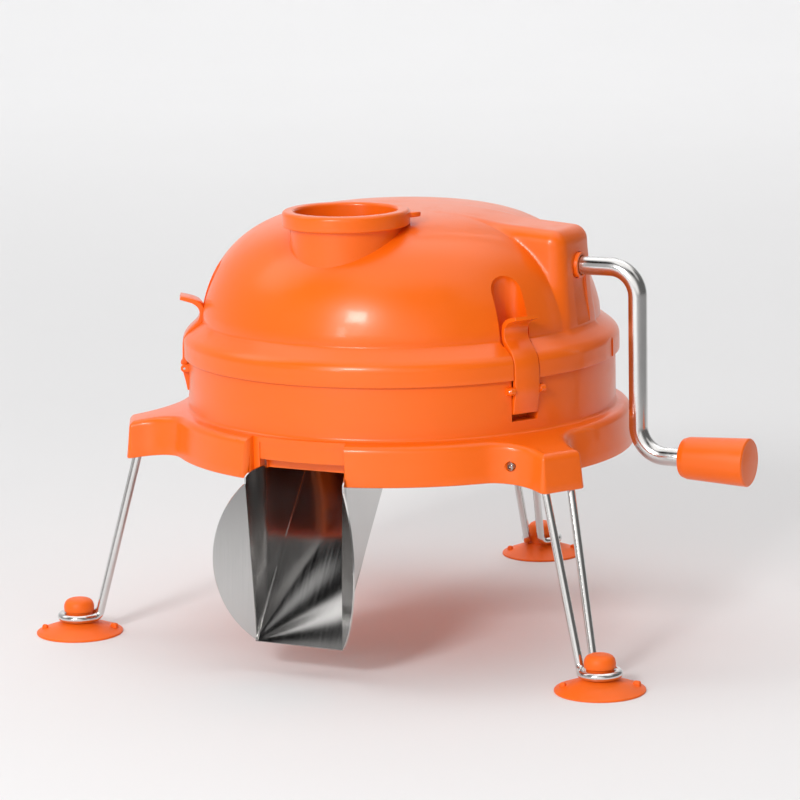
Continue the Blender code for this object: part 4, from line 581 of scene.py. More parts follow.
def make_materials(finish):
    skin, drawn = make_moulding_group(), make_drawn_group()
    orange, steel = tuple(finish.orange), np.array(tuple(finish.steel))
    shell = {"Grain Size": 1500.0, "Drift Size": 18.0, "Mark Size": 60.0, "Marks": 0.1}
    moulded(
        "orange_plastic", orange, finish.gloss, skin, 0.16, shell, 0.03, Coat_Weight=0.2,
        Coat_Roughness=0.12, Specular_IOR_Level=0.42,
    )
    moulded(
        "orange_grip", orange, finish.gloss + 0.04, skin, 0.24, {**shell, "Marks": 0.22}, 0.04
    )
    moulded(
        "orange_rubber", tuple(finish.rubber), 0.46, skin, 0.3,
        {"Grain Size": 900.0, "Drift Size": 60.0, "Mark Size": 120.0, "Marks": 0.2}, 0.06,
        Specular_IOR_Level=0.35,
    )
    moulded(
        "white_nylon", (0.8, 0.78, 0.72), 0.42, skin, 0.3,
        {"Grain Size": 1100.0, "Drift Size": 45.0, "Mark Size": 150.0, "Marks": 0.25}, 0.05,
        Subsurface_Weight=0.1,
    )
    for name, share, roughness, bump, sizes in STEELS:
        steely(name, steel * share, roughness, drawn, bump, sizes)


# Lid


FLANGE, DOME_FOOT = 112.5, 144.0
CREASE = (102.6, 163.4)
HUMP_HALF, HUMP_END, HUMP_TOP, HUMP_FOOT = 18.8, 100.3, 215.9, 156.0
PANEL_HALF, PANEL_LOW, PANEL_DEPTH = 7.5, 165.0, 1.1
POCKET_BACK, POCKET_HALF, POCKET_LOW = 89.9, 8.8, 161.0
# height of the point on the axis that the lid's rays start from
VIEWPOINT = 130.0
CHIMNEY, RIM = (0.0, -58.4), 225.5
BORE, TUBE = 25.7, 28.2
AXIS_Z = 194.3
POSTS, POST_RADIUS = 35.0, 4.0
# bearing seats: radius of the spindle's bush, of its boss and of the crank's bushes
SPINDLE_SEAT, BOSS, CRANK_SEAT = 7.3, 10.3, 6.8


def dome_profile(radius, top, inset, angles):
    """A superellipse from the dome's foot to its top: powers of the cosine and sine of an angle."""
    turns = np.radians(angles)
    across = np.maximum(np.cos(turns), 0.0) ** 0.57
    rise = np.sin(turns) ** 0.85
    height = DOME_FOOT + (top - inset - DOME_FOOT) * rise
    return np.stack([(radius - inset) * across, height], 1)


def lid_profile(lid):
    """The lid's outside from the flange's lower edge over the shoulder and crease to the top."""
    chamfer = filleted([(110.3, 145.3), (FLANGE, 145.3), (FLANGE, 150.0)], 0.35, 4)
    shoulder = eased(
        [(FLANGE, 151.6), (FLANGE, 154.2), (111.0, 157.0), (107.4, 159.7), (104.6, 161.8)], 3
    )
    foot = dome_profile(lid.dome_radius, lid.dome_top, 0.0, [14.0])[0]
    crease = eased([(103.6, 162.7), CREASE, (CREASE[0] * 0.4 + foot[0] * 0.6, 165.2)], 2)
    dome = dome_profile(lid.dome_radius, lid.dome_top, 0.0, np.linspace(15.5, 90, 96))
    return np.vstack([chamfer[:-1], [(FLANGE, 148.5)], shoulder, crease, dome])


def hump_reach(directions, inset):
    """How far a ray from the viewpoint goes inside the gear hump, found by halving the interval.

    The hump is a box with drafted sides, a bulged end with a sunk panel, and a sloped top. Its
    edges are rounded by the length of the positive parts of (distance to each side + radius).
    """
    round_radius = 7.0 - inset
    near, far = np.zeros(directions.shape[:-1]), np.full(directions.shape[:-1], 160.0)
    for _ in range(26):
        middle = (near + far) / 2
        x, y = directions[..., 0] * middle, directions[..., 1] * middle
        z = VIEWPOINT + directions[..., 2] * middle
        widen = 0.06 * np.maximum(204.5 - z, 0.0)
        side = np.abs(y) - (HUMP_HALF + widen - inset)
        panel = step_mask(PANEL_HALF - np.abs(y), 0.22) * step_mask(z - PANEL_LOW, 0.3)
        panel = panel * step_mask(AXIS_Z - z, 0.3) * PANEL_DEPTH * (inset == 0)
        end = x - (HUMP_END + widen - inset - 1.4 * (y / HUMP_HALF) ** 2 - panel)
        top = z - (HUMP_TOP - inset - 0.078 * (np.maximum(x, 30.0) - 56.0))
        back = -x - 5.0
        sides = np.stack([side, end, top, back], -1) + round_radius
        outside = np.linalg.norm(np.maximum(sides, 0.0), axis=-1) - round_radius
        distance = outside + np.minimum(sides.max(-1), 0.0)
        near = np.where(distance < 0, middle, near)
        far = np.where(distance < 0, far, middle)
    return (near + far) / 2


def step_mask(value, width):
    """Goes smoothly from 0 to 1 while the value goes from minus the width to the width."""
    share = np.clip(value / width * 0.5 + 0.5, 0.0, 1.0)
    return share * share * (3 - 2 * share)


def soft_maximum(first, second, width):
    """The larger value, lifted where the two are closer than the width, so they run together."""
    near = np.maximum(width - np.abs(first - second), 0.0) / width
    return np.maximum(first, second) + near * near * width / 4


def lid_shell(profile, azimuths, blend, inset):
    """The dome and hump as distances from a point on the axis, over azimuth and elevation."""
    lift = profile[:, 1] - VIEWPOINT
    elevations = np.arctan2(lift, profile[:, 0])
    distances = np.hypot(profile[:, 0], lift)
    angle, azimuth = np.meshgrid(elevations, azimuths, indexing="ij")
    directions = np.stack(
        [np.cos(angle) * np.cos(azimuth), np.cos(angle) * np.sin(azimuth), np.sin(angle)], -1
    )
    hump = np.zeros_like(angle)
    near = np.abs(azimuth) < math.radians(100)
    hump[near] = hump_reach(directions[near], inset)
    above = step_mask(directions[..., 2] * hump + VIEWPOINT - HUMP_FOOT, 3.0)
    reach = soft_maximum(distances[:, None] + 0 * angle, hump * above, blend)
    return directions * reach[..., None] + (0, 0, VIEWPOINT)


def lid_azimuths(fine):
    """Columns close together where the hump's sides and panel are, and further apart elsewhere."""
    spans = [(0.0, 4.0, 0.5), (4.0, 4.6, 0.1), (4.6, 9.0, 0.5), (9.0, 19.0, 0.22),
             (19.0, 48.0, 0.5), (48.0, 179.0, 1.0)]
    half = np.concatenate([np.arange(a, b - 1e-6, step * fine) for a, b, step in spans])
    return np.radians(np.unique(np.concatenate([half, [180.0], -half[1:]])))


def pocket_tool(azimuth):
    """The arched recess over a latch, from its flat back with a soft inner corner outwards."""
    turns = np.radians(np.linspace(88, 0, 13))
    steps = [(POCKET_BACK + 6.4 * (1 - math.sin(t)), 6.8 * (1 - math.cos(t))) for t in turns]
    rings = []
    for distance, inset in [*steps, (116.0, 0.0)]:
        half, low = POCKET_HALF - inset, POCKET_LOW + inset * 0.5
        outline = np.vstack(
            [filleted([(-half, 180.0), (-half, low), (half, low), (half, 180.0)], 1.2, 4)[1:-1],
             arc((0, 187.6), half, 0, 180, 36)]
        )
        ring = np.column_stack([np.full(len(outline), distance), outline])
        rings.append(turned(ring, azimuth))
    return closed_rings(rings)


def strap_channel(azimuth):
    """The channel down the shoulder and flange that a latch lies in: its side view, widened."""
    side = eased([(110.2, 139.0), (110.2, 151.8), (109.1, 155.2), (106.8, 158.2), (103.4, 160.9),
                  (100.9, 163.6), (100.3, 168.0)], 2)
    side = np.vstack([side, [(122.0, 168.0), (122.0, 139.0)]])
    return turned_shape(prism(at_side(side, -7.75), (0.0, 15.5, 0.0)), azimuth)


def inside_lid(lid):
    """The lid's hollow: the shell moved inwards, less the posts, boss, wall and pocket backs."""
    wall = lid.wall
    angles = np.concatenate([[14.0], np.linspace(16, 90, 30)])
    dome = dome_profile(lid.dome_radius, lid.dome_top, wall, angles)
    profile = np.vstack([[(104.4, 138.0), (104.4, 154.0), (100.0, 163.6)], dome])
    points = lid_shell(profile, lid_azimuths(2.0), lid.blend, wall)
    hollow = put_mesh("lid_hollow", *closed_rings(points))
    top = lid.dome_top + 4.0
    kept = [revolved([(BOSS, 203.0), (BOSS, top)], 48, wrap=False)]
    for azimuth in (60.0, 180.0, 300.0):
        post = [(POST_RADIUS, 163.3), (POST_RADIUS, top)]
        kept.append(revolved(post, 32, polar(POSTS, azimuth), wrap=False))
    kept.append(block((45.0, -24.0, 178.1), (50.0, 24.0, top)))
    kept += [block((89.1, -11.2, 158.6), (107.5, 11.2, 197.7), a) for a in LEGS.values()]
    return finish_booleans(hollow, [("DIFFERENCE", put_parts("lid_kept", kept))])


def make_lid(lid):
    profile = lid_profile(lid)
    points = lid_shell(profile, lid_azimuths(1.0), lid.blend, 0.0)
    shell = put_mesh("lid_shell", *closed_rings(points))
    steps = [("DIFFERENCE", inside_lid(lid))]
    groove = revolved([(111.0, 140.0), (111.0, 150.3), (107.2, 150.3), (107.2, 140.0)], 220)
    bores = [
        revolved([(27.4, 141.0), (27.4, 240.0)], 128, CHIMNEY, wrap=False),
        revolved([(SPINDLE_SEAT, 199.0), (SPINDLE_SEAT, 212.8)], 48, wrap=False),
        about_x([(42.0, CRANK_SEAT), (108.0, CRANK_SEAT)], 48, AXIS_Z, wrap=False),
    ]
    pockets = [pocket_tool(azimuth) for azimuth in LEGS.values()]
    channels = [strap_channel(azimuth) for azimuth in LEGS.values()]
    flange_flat = block((111.85, -14.0, 143.0), (116.0, 0.0, 158.0), 9.6)
    tools = {
        "lid_groove": [groove],
        "lid_bores": bores,
        "lid_pockets": pockets,
        "strap_channels": [*channels, flange_flat],
    }
    steps += [("DIFFERENCE", put_parts(name, parts)) for name, parts in tools.items()]
    return finish_booleans(shell, steps, 34.0)


def make_chimney():
    """A turned tube with a thick rounded rim, and a small pointed lug beside the rim."""
    outside = filleted(
        [(TUBE, 150.0), (TUBE, 217.5), (32.0, 217.5), (32.0, RIM), (BORE, RIM), (BORE, 150.0)],
        [0.5, 1.1, 1.9, 1.6], 8,
    )
    profile = np.vstack([[(BORE, 148.0), (TUBE, 148.0)], outside])
    root, tip = 30.0, 37.3
    ends = ((221.3, 0.5), (221.6, 0.12), (222.0, 0.0), (223.2, 0.0), (223.6, 0.15), (223.8, 0.6))
    plan = eased([(root, -4.5), (34.0, -4.4), (tip, -1.2), (tip, 1.2), (34.0, 4.4), (root, 4.5)], 2)
    rings = []
    for height, inset in ends:
        scale = 1 - inset / 7.0
        ring = np.column_stack([root + (plan[:, 0] - root) * scale, plan[:, 1] * scale])
        rings.append(ring_at(ring, height))
    lug = turned(np.vstack(rings), 27.0) + (*CHIMNEY, 0.0)
    return (
        put_mesh("feed_chimney", *revolved(profile, 160, CHIMNEY)),
        put_mesh("chimney_lug", *closed_rings(lug.reshape(len(rings), -1, 3))),
    )


# Base


SKIRT_R, DRAFT = 119.4, 1.5
LOBE_TIP, LOBE_HALF, LOBE_FILLET = 143.0, 13.0, 22.0
SCREW_PLACE, WIRE_TOP, WIRE_SPREAD = 122.8, 105.5, 8.0
PLATE_START, PLATE_TOP, PLATE_SLOPE = 110.4, 118.3, 0.175


def plate_height(radius):
    return PLATE_TOP - PLATE_SLOPE * (radius - PLATE_START)


def base_outline(inset):
    """The foot plate's plan: circle arcs between three lobes, each a fillet, a corner and a tip."""
    side = LOBE_HALF + LOBE_FILLET
    centre = (math.sqrt((SKIRT_R + LOBE_FILLET) ** 2 - side**2), side)
    blend = math.degrees(math.atan2(centre[1], centre[0]))
    corner = max(3.0 - inset, 0.3)
    tip, half = LOBE_TIP - inset, LOBE_HALF - inset
    gap = 120.0 - 2 * blend
    parts = []
    for azimuth in LEGS.values():
        circle = arc((0, 0), SKIRT_R - inset, azimuth - blend - gap, azimuth - blend, 56)
        right = arc((centre[0], -centre[1]), LOBE_FILLET + inset, 180 - blend, 90, 12)
        bend = arc((tip - corner, corner - half), corner, -90, 0, 8)
        right = np.vstack([right, bend])
        lobe = np.vstack([right, [(tip, 0.0)], right[::-1] * (1, -1)])
        lobe = turned(ring_at(lobe, 0.0), azimuth)[:, :2]
        parts += [circle[1:-1], lobe]
    return np.vstack(parts)


def base_rings(base):
    outline = base_outline(0.0)
    unit = outline / np.hypot(*outline.T)[:, None]
    drum, soft = base.drum_radius, base.corner_round
    rings = [ring_at(unit * (drum - 2.6), 115.0)]
    rim = filleted([(drum - 2.6, 140.0), (drum - 2.6, 150.0), (drum, 150.0), (drum, 140.0)], 0.6, 4)
    rings += [ring_at(unit * radius, height) for radius, height in rim[1:]]
    for height in (134.0, 128.0, 124.0):
        rings.append(ring_at(unit * drum, height))
    foot = 1.6
    for radius, height in arc((drum + foot, PLATE_TOP + foot), foot, 180, 270, 6):
        rings.append(ring_at(unit * radius, height - PLATE_SLOPE * (radius - drum)))
    for turn in np.radians(np.linspace(90, 0, 10)):
        inset = DRAFT + soft * (1 - math.cos(turn))
        drop = soft * (1 - math.sin(turn))
        rings.append(ring_at(base_outline(inset), lambda r, d=drop: plate_height(r) - d))

    def bottom(lift):
        return lambda r: 97.1 - 0.13 * np.maximum(r - SKIRT_R, 0.0) + lift

    for share in (0.35, 0.7):
        def between(radii, low=share, high=1 - share):
            return (plate_height(radii) - soft) * high + bottom(0)(radii) * low

        rings.append(ring_at(base_outline(DRAFT * (1 - share)), between))
    for inset, lift in ((0.0, 0.8), (0.1, 0.35), (0.45, 0.06), (0.8, 0.0), (2.2, 0.0), (2.6, 0.3)):
        rings.append(ring_at(base_outline(inset), bottom(lift)))
    rings.append(ring_at(base_outline(2.6 + DRAFT), lambda r: plate_height(r) - 3.6))
    rib_foot, rib_soft = 106.5, 0.4
    rings.append(ring_at(unit * (drum + 2.1), lambda r: plate_height(r) - 2.6))
    for past, height in ((2.1, rib_foot + rib_soft), (1.7, rib_foot), (0.0, rib_foot),
                         (-0.5, rib_foot + rib_soft), (-0.5, 112.4)):
        rings.append(ring_at(unit * (drum + past), height))
    return np.stack(rings)


def lobe_block(azimuth):
    """Solid filling of a lobe under the plate, from its inner face to just inside the skirt."""
    way = polar(1.0, azimuth)[:2]
    inside = base_outline(0.0) @ way > 117.0
    first = int(np.argmax(inside & ~np.roll(inside, 1)))
    rings = []
    for inset, height in ((1.3, 97.5), (1.3 + DRAFT, lambda r: plate_height(r) - 1.9)):
        plan = np.roll(base_outline(inset), -first, axis=0)[: int(inside.sum())]
        rings.append(ring_at(plan, height))
    return closed_rings(rings)


EAR, PIN_DISTANCE, PIN_HEIGHT = 1.9, 112.2, 140.0


def ear_bar(azimuth):
    """The half-round lug across a latch slot, whose ends become the two ears of the hinge."""
    nose = arc((PIN_DISTANCE, PIN_HEIGHT), EAR, -90, 90, 24)
    side = np.vstack([[(109.0, PIN_HEIGHT - EAR)], nose, [(109.0, PIN_HEIGHT + EAR)]])
    rings = []
    for y, inset in ((-10.7, 0.4), (-10.3, 0.0), (10.3, 0.0), (10.7, 0.4)):
        ring = side * 1.0
        reach = np.array([PIN_DISTANCE, PIN_HEIGHT]) - ring
        ring[1:-1] += reach[1:-1] / EAR * inset
        rings.append(at_side(ring, y))
    return turned_shape(closed_rings(rings), azimuth)


def notch_tool():
    """The gap in the skirt over the chute: its outer corners flare by a quarter circle."""
    middle = np.radians(270.0)
    sides = []
    for sign, wide, flare in ((-1, 14.1, 5.4), (1, 12.5, 2.8)):
        turn = arc((SKIRT_R - flare, flare), flare, -90, 0, 8)
        half = np.vstack([[(112.9, 0.0)], turn, [(126.0, flare + 0.4)]])
        angle = middle + sign * math.radians(wide)
        radial = np.array([math.cos(angle), math.sin(angle)])
        along = np.array([-radial[1], radial[0]]) * sign
        sides.append(half[:, :1] * radial + half[:, 1:] * along)
    back = arc((0, 0), 112.9, 282.5, 255.9, 26)[1:-1]
    front = arc((0, 0), 127.0, 256.2, 281.0, 8)
    plan = np.vstack([sides[0], front, sides[1][::-1], back])
    return prism(ring_at(plan, 90.0), (0, 0, 35.0))


def side_turned(spans, azimuth, sides=28):
    """A lathe shape about a leg screw's axis, from (distance beside the lobe's middle, radius)."""
    points, faces = revolved(np.asarray(spans, float)[:, ::-1], sides, wrap=False)
    x, y, z = SCREW_PLACE + points[:, 0], -points[:, 2], WIRE_TOP + points[:, 1]
    return turned(np.stack([x, y, z], 1), azimuth), faces


def screw_head_side():
    side = LOBE_HALF + LOBE_FILLET
    centre = math.sqrt((SKIRT_R + LOBE_FILLET) ** 2 - side**2)
    return side - math.sqrt(LOBE_FILLET**2 - (centre - SCREW_PLACE) ** 2)


def make_base(base):
    shell = put_mesh("base_shell", *closed_rings(base_rings(base)))
    head, azimuths = screw_head_side(), LEGS.values()
    recesses = [block((99.5, -9.3, 123.0), (109.5, 9.3, 143.0), a) for a in azimuths]
    throat = block((-22.1, -106.4, 101.5), (22.1, -61.5, 113.7))
    cheek = block((-36.0, -112.0, 97.6), (-23.7, -104.0, 116.0))
    boss = revolved([(BOSS, 113.7), (BOSS, 123.4), (9.7, 124.0)], 48, wrap=False)
    channels = [
        block((120.2, side - 2.4, 90.0), (139.1, side + 2.4, 107.9), azimuth)
        for azimuth in azimuths for side in (-WIRE_SPREAD, WIRE_SPREAD)
    ]
    screw = [(head + 4, 2.6), (head - 0.9, 2.6), (head - 0.9, 1.8), (9.0, 1.8)]
    openings = [
        block((-19.9, -104.2, 96.0), (19.9, -63.7, 118.0)),
        notch_tool(),
        block((-21.9, -107.6, 96.0), (21.9, -104.0, 106.6)),
        revolved([(SPINDLE_SEAT, 108.0), (SPINDLE_SEAT, 126.0)], 48, wrap=False),
    ]
    steps = [
        ("UNION", "lobe_blocks", [*map(lobe_block, azimuths), *recesses]),
        ("UNION", "throat_and_boss", [throat, boss, cheek]),
        ("UNION", "hinge_ears", [*map(ear_bar, azimuths)]),
        ("DIFFERENCE", "latch_slots",
         [block((101.0, -7.7, 124.5), (116.5, 7.7, 156.0), a) for a in azimuths]),
        ("DIFFERENCE", "wire_channels", channels),
        ("DIFFERENCE", "screw_holes", [side_turned(screw, azimuth) for azimuth in azimuths]),
        ("DIFFERENCE", "base_openings", openings),
    ]
    steps = [(operation, put_parts(name, parts)) for operation, name, parts in steps]
    return finish_booleans(shell, steps, 34.0)


# Latches


LATCH_STEPS = 48


def latch_side():
    """The latch from the side: up along its inner face, then down its outer face, evenly spaced."""
    inner = [
        (108.6, 127.8), (109.2, 134.0), (110.35, 139.0), (110.55, 143.5), (110.5, 151.6),
        (109.5, 154.9), (107.2, 158.0), (103.9, 160.7), (101.6, 163.4), (100.9, 167.8),
        (101.7, 172.0), (104.6, 174.6), (109.0, 176.0), (113.1, 176.8),
    ]
    outer = [
        (113.6, 175.1), (110.6, 174.2), (106.6, 172.9), (104.1, 170.6), (103.4, 167.6),
        (104.0, 164.8), (106.0, 162.5), (109.3, 159.7), (111.9, 156.1), (112.9, 152.0),
        (113.0, 145.0), (113.3, 141.5), (113.2, 138.4), (112.0, 134.0), (110.9, 128.2),
    ]
    lines = eased(inner, 2), eased(outer, 2)
    return np.vstack([
        at_lengths(line, np.linspace(0, lengths(line)[-1], LATCH_STEPS)) for line in lines
    ])


def make_latch(number):
    """The side view carried across the strap's width, rounded at both rims."""
    side = latch_side()
    rows = [(-7.2, 0.42), (-7.2, 0.32), (-7.1, 0.09), (-6.88, 0.0)]
    rows += [(-y, inset) for y, inset in rows[::-1]]
    edges = np.roll(side, -1, 0) - np.roll(side, 1, 0)
    inward = unit_rows(np.stack([-edges[:, 1], edges[:, 0]], 1))
    area = np.sum(side[:, 0] * np.roll(side[:, 1], -1) - np.roll(side[:, 0], -1) * side[:, 1])
    inward *= np.sign(area)
    rings = [at_side(side + inward * inset, y) for y, inset in rows]
    points, faces = closed_rings(rings)
    step = np.arange(LATCH_STEPS - 1)
    cheek = np.stack([step, 2 * LATCH_STEPS - 1 - step, 2 * LATCH_STEPS - 2 - step, step + 1], 1)
    faces = [faces[0], cheek, cheek[:, ::-1] + (len(rings) - 1) * len(side)]
    return put_mesh(f"latch_strap_{number}", turned(points, LEGS[number]), faces, 50.0)


def make_latch_pin(number):
    ends = [(-10.9, 0.5), (-10.6, 0.8), (10.6, 0.8), (10.9, 0.5)]
    points, faces = about_x(ends, 24, PIN_HEIGHT, wrap=False)
    points = points[:, [1, 0, 2]] + (PIN_DISTANCE, 0, 0)
    return put_mesh(f"latch_hinge_pin_{number}", turned(points, LEGS[number]), faces)


# Crank


GRIP_Z, ARM_X, ROD_SEAT = 99.8, 132.6, 5.05


def make_crank(metal):
    """A round bar carried along two straight runs and two quarter bends in one plane."""
    corners = [(16, 0, AXIS_Z), (ARM_X, 0, AXIS_Z), (ARM_X, 0, GRIP_Z), (188.8, 0, GRIP_Z)]
    path = filleted(corners, 14.5, 28)
    return put_mesh("crank_bar", *tube(path, metal.rod_radius, 56))


def make_grip():
    """A turned handle: straight taper, a soft shoulder, and a faintly crowned end with a ring."""
    crown = arc((120.0, 0.0), 72.9, 8.2, 0.03, 10)
    crown = np.column_stack([crown[:, 0] + 0.1, crown[:, 1]])
    start, bore_end, end = 156.0, 189.8, 193.0
    corners = [(bore_end, ROD_SEAT), (start, ROD_SEAT), (start, 7.0), (157.0, 9.6), (160.0, 10.62),
               (191.6, 12.1), (192.25, 11.3), (192.25, 10.4)]
    body = filleted(corners, [0.2, 0.8, 1.2, 2.4, 0.5, 0.3], 8)
    profile = np.vstack([[(bore_end, 0.05)], body, crown[1:]])
    profile[:, 0] = np.minimum(profile[:, 0], end)
    return put_mesh("grip_handle", *about_x(profile, 128, GRIP_Z, wrap=False), 32.0)


def make_bushes():
    bore, outside, collar_end = ROD_SEAT, 6.5, 102.51
    outer = [(95.5, bore), (95.5, outside), (collar_end, outside), (collar_end, bore), (96.5, bore)]
    outer = filleted(outer, [0.2, 0.5, 0.35], 5)
    inner = [(42.9, bore), (42.9, 9.1), (44.7, 9.1), (44.7, outside), (50.0, outside)]
    inner = filleted([*inner, (50.0, bore), (44, bore)], [0.3, 0.3, 0.2, 0.4, 0.3], 4)
    return (
        put_mesh("crank_collar", *about_x(outer, 72, AXIS_Z)),
        put_mesh("inner_bearing", *about_x(inner, 56, AXIS_Z)),
    )


# Legs and cups


FOOT, RING_HEIGHT = 170.8, 9.0


def leg_path():
    """Half a hairpin with round bends, then most of a circle round the cup's neck, mirrored."""
    ring = ring_at(arc((FOOT, 0.0), 9.2, 130, 0, 26), RING_HEIGHT)
    top, end = (134.6, WIRE_SPREAD, WIRE_TOP), (120.5, WIRE_SPREAD, WIRE_TOP)
    corners = np.array([end, top, (160.5, 4.2, RING_HEIGHT), ring[0]])
    half = np.vstack([filleted(corners, [4.5, 4.0], 12)[:-1], ring])
    return np.vstack([half, half[-2::-1] * (1, -1, 1)])


def make_leg(number, metal):
    path = turned(leg_path(), LEGS[number])
    return put_mesh(f"hairpin_leg_{number}", *tube(path, metal.wire_radius, 28))


def make_cup(number):
    """A turned rubber cup: hollow below, with a thin rim, a neck, a knob and two small lugs."""
    skirt = filleted(
        [(0.05, 3.9), (10.0, 3.3), (20.9, 0.0), (22.4, 0.0), (22.4, 1.0), (11.6, 4.9), (8.6, 6.6),
         (6.8, 6.6), (6.8, 11.6), (7.7, 11.9)],
        [4.0, 0.3, 0.35, 0.45, 4.0, 1.1, 0.3, 0.4], 7,
    )
    knob = eased([(7.7, 11.9), (7.95, 14.4), (7.0, 17.1), (4.4, 18.4), (0.05, 18.4)], 3)
    place = polar(FOOT, LEGS[number])
    parts = [revolved(np.vstack([skirt, knob[1:]]), 96, place, wrap=False)]
    for turn, size in ((27.0, 1.25), (207.0, 1.0)):
        spot = place + polar(18.0, turn)
        rings = []
        for height, inset in ((1.6, 0.0), (3.6, 0.1), (4.3, 0.35), (4.6, 0.8)):
            x, y = 1.5 * size - inset, 1.2 * size - inset
            plan = eased([(x, 0), (x, y), (0, y), (-x, y), (-x, 0), (-x, -y), (0, -y), (x, -y),
                          (x, 0)], 2)[:-1]
            rings.append(ring_at(plan, height) + spot)
        parts.append(closed_rings(np.stack(rings)))
    return put_parts(f"rubber_cup_{number}", parts)


def make_leg_screw(number):
    """A pan head with a round socket and a shaft, turned about a line across the lobe."""
    head = screw_head_side()
    spans = [
        (head - 0.5, 0.05), (head - 0.5, 1.0), (head + 0.35, 1.15), (head + 0.4, 1.6),
        (head + 0.28, 2.0), (head, 2.25), (head - 0.3, 2.3), (head - 0.6, 2.3), (head - 0.6, 1.5),
        (10.4, 1.5), (10.4, 0.05),
    ]
    return put_mesh(f"leg_fixing_{number}", *side_turned(spans, LEGS[number], 40))


# Chute


def slab(front, back):
    """A sheet with thickness: two equal grids and the four strips between their edges."""
    rows, columns = front.shape[:2]
    count = rows * columns
    index = np.arange(count).reshape(rows, columns)
    rim = np.concatenate([index[0, :], index[1:, -1], index[-1, -2::-1], index[-2:0:-1, 0]])
    after = np.roll(rim, -1)
    faces = [
        grid_quads(rows, columns, wrap_columns=False),
        grid_quads(rows, columns, wrap_columns=False, first=count)[:, ::-1],
        np.stack([rim, rim + count, after + count, after], 1),
    ]
    return np.vstack([front.reshape(-1, 3), back.reshape(-1, 3)]), faces


LIP_Y, LIP_Z, RAMP_Y, RAMP_Z = -121.0, 16.5, -61.15, 99.0
INNER_X, SHEET_TOP, WING_TOP, NOSE = 22.45, 110.0, 95.3, 103.0
WALL_END, NOSE_START, NOSE_LONG, WING_WIDE = -119.4, -106.2, 14.8, 19.0
RIVETS = ((72.0, -1), (72.0, 1), (97.0, -1), (97.0, 1))
LIP_SPREAD, BUCKLE, BUCKLE_TURN = 3.0, 0.024, math.radians(56.0)


def ramp_height(y):
    return LIP_Z + (y - LIP_Y) / (RAMP_Y - LIP_Y) * (RAMP_Z - LIP_Z)


def near_lip(y):
    """From 0 in the chute's straight part to 1 at its lip."""
    return step_mask(-113.5 - y, 7.5)


def chute_side(sign, sheet):
    """A side wall that bends into its wing: columns run along the plan line, rows up each column.

    Every column ends on the ramp's line or the wing's lower arc below, and on the wall's top, the
    round nose or the wing's upper arc above. The front leans outwards as it rises.
    """
    bend, angle = 1.6, math.radians(44.0)
    wall_y = np.concatenate(
        [np.linspace(RAMP_Y, NOSE_START + 0.01, 14), np.linspace(NOSE_START, WALL_END, 16)]
    )
    turns = np.linspace(0, angle, 9)[1:]
    bend_x = INNER_X + bend * (1 - np.cos(turns))
    bend_y = WALL_END - bend * np.sin(turns)
    low, high = LIP_Z + 0.6, WING_TOP
    half, middle = (high - low) / 2, (high + low) / 2
    radius = (half**2 + WING_WIDE**2) / (2 * WING_WIDE)
    reach = WING_WIDE * np.sin(np.linspace(0, math.pi / 2, 26))[1:]
    reach[-1] = WING_WIDE - 0.03
    wing_x = bend_x[-1] + reach * math.sin(angle)
    wing_y = bend_y[-1] - reach * math.cos(angle)
    x = np.concatenate([np.full(len(wall_y), INNER_X), bend_x, wing_x])
    y = np.concatenate([wall_y, bend_y, wing_y])
    nose = np.clip((NOSE_START - wall_y) / NOSE_LONG, 0, 1)
    round_top = WING_TOP + (NOSE - WING_TOP) * np.sqrt(np.maximum(1 - nose**2, 0))
    wall_top = np.where(wall_y > NOSE_START + 0.005, SHEET_TOP, round_top)
    spread = np.sqrt(np.maximum(radius**2 - (reach - WING_WIDE + radius) ** 2, 0.0))
    bottom = np.concatenate([ramp_height(wall_y), np.full(len(bend_x), low), middle - spread])
    top = np.concatenate([wall_top, np.full(len(bend_x), high), middle + spread])
    z = bottom + (top - bottom) * np.linspace(0, 1, 34)[:, None]
    risen = np.clip((z - LIP_Z) / 79.0, 0, 1)
    lean = 4.6 * risen**1.2 + LIP_SPREAD * (sign > 0) * (1 - risen)
    lean = lean * near_lip(y)
    front = np.stack([x + lean, y + 0 * z, z], -1)
    along_x, along_y = eased_track(np.gradient(x)), eased_track(np.gradient(y))
    size = np.hypot(along_x, along_y)
    normal = np.stack([-along_y / size, along_x / size, 0 * x], -1)
    back = front + normal * sheet
    flip = np.array([sign, 1.0, 1.0])
    return slab(front * flip, back * flip)


def eased_track(values):
    """Each value averaged with its neighbours, so that the sheet's far side has no kink."""
    padded = np.concatenate([values[:1], values, values[-1:]])
    return (padded[:-2] + 2 * padded[1:-1] + padded[2:]) / 4


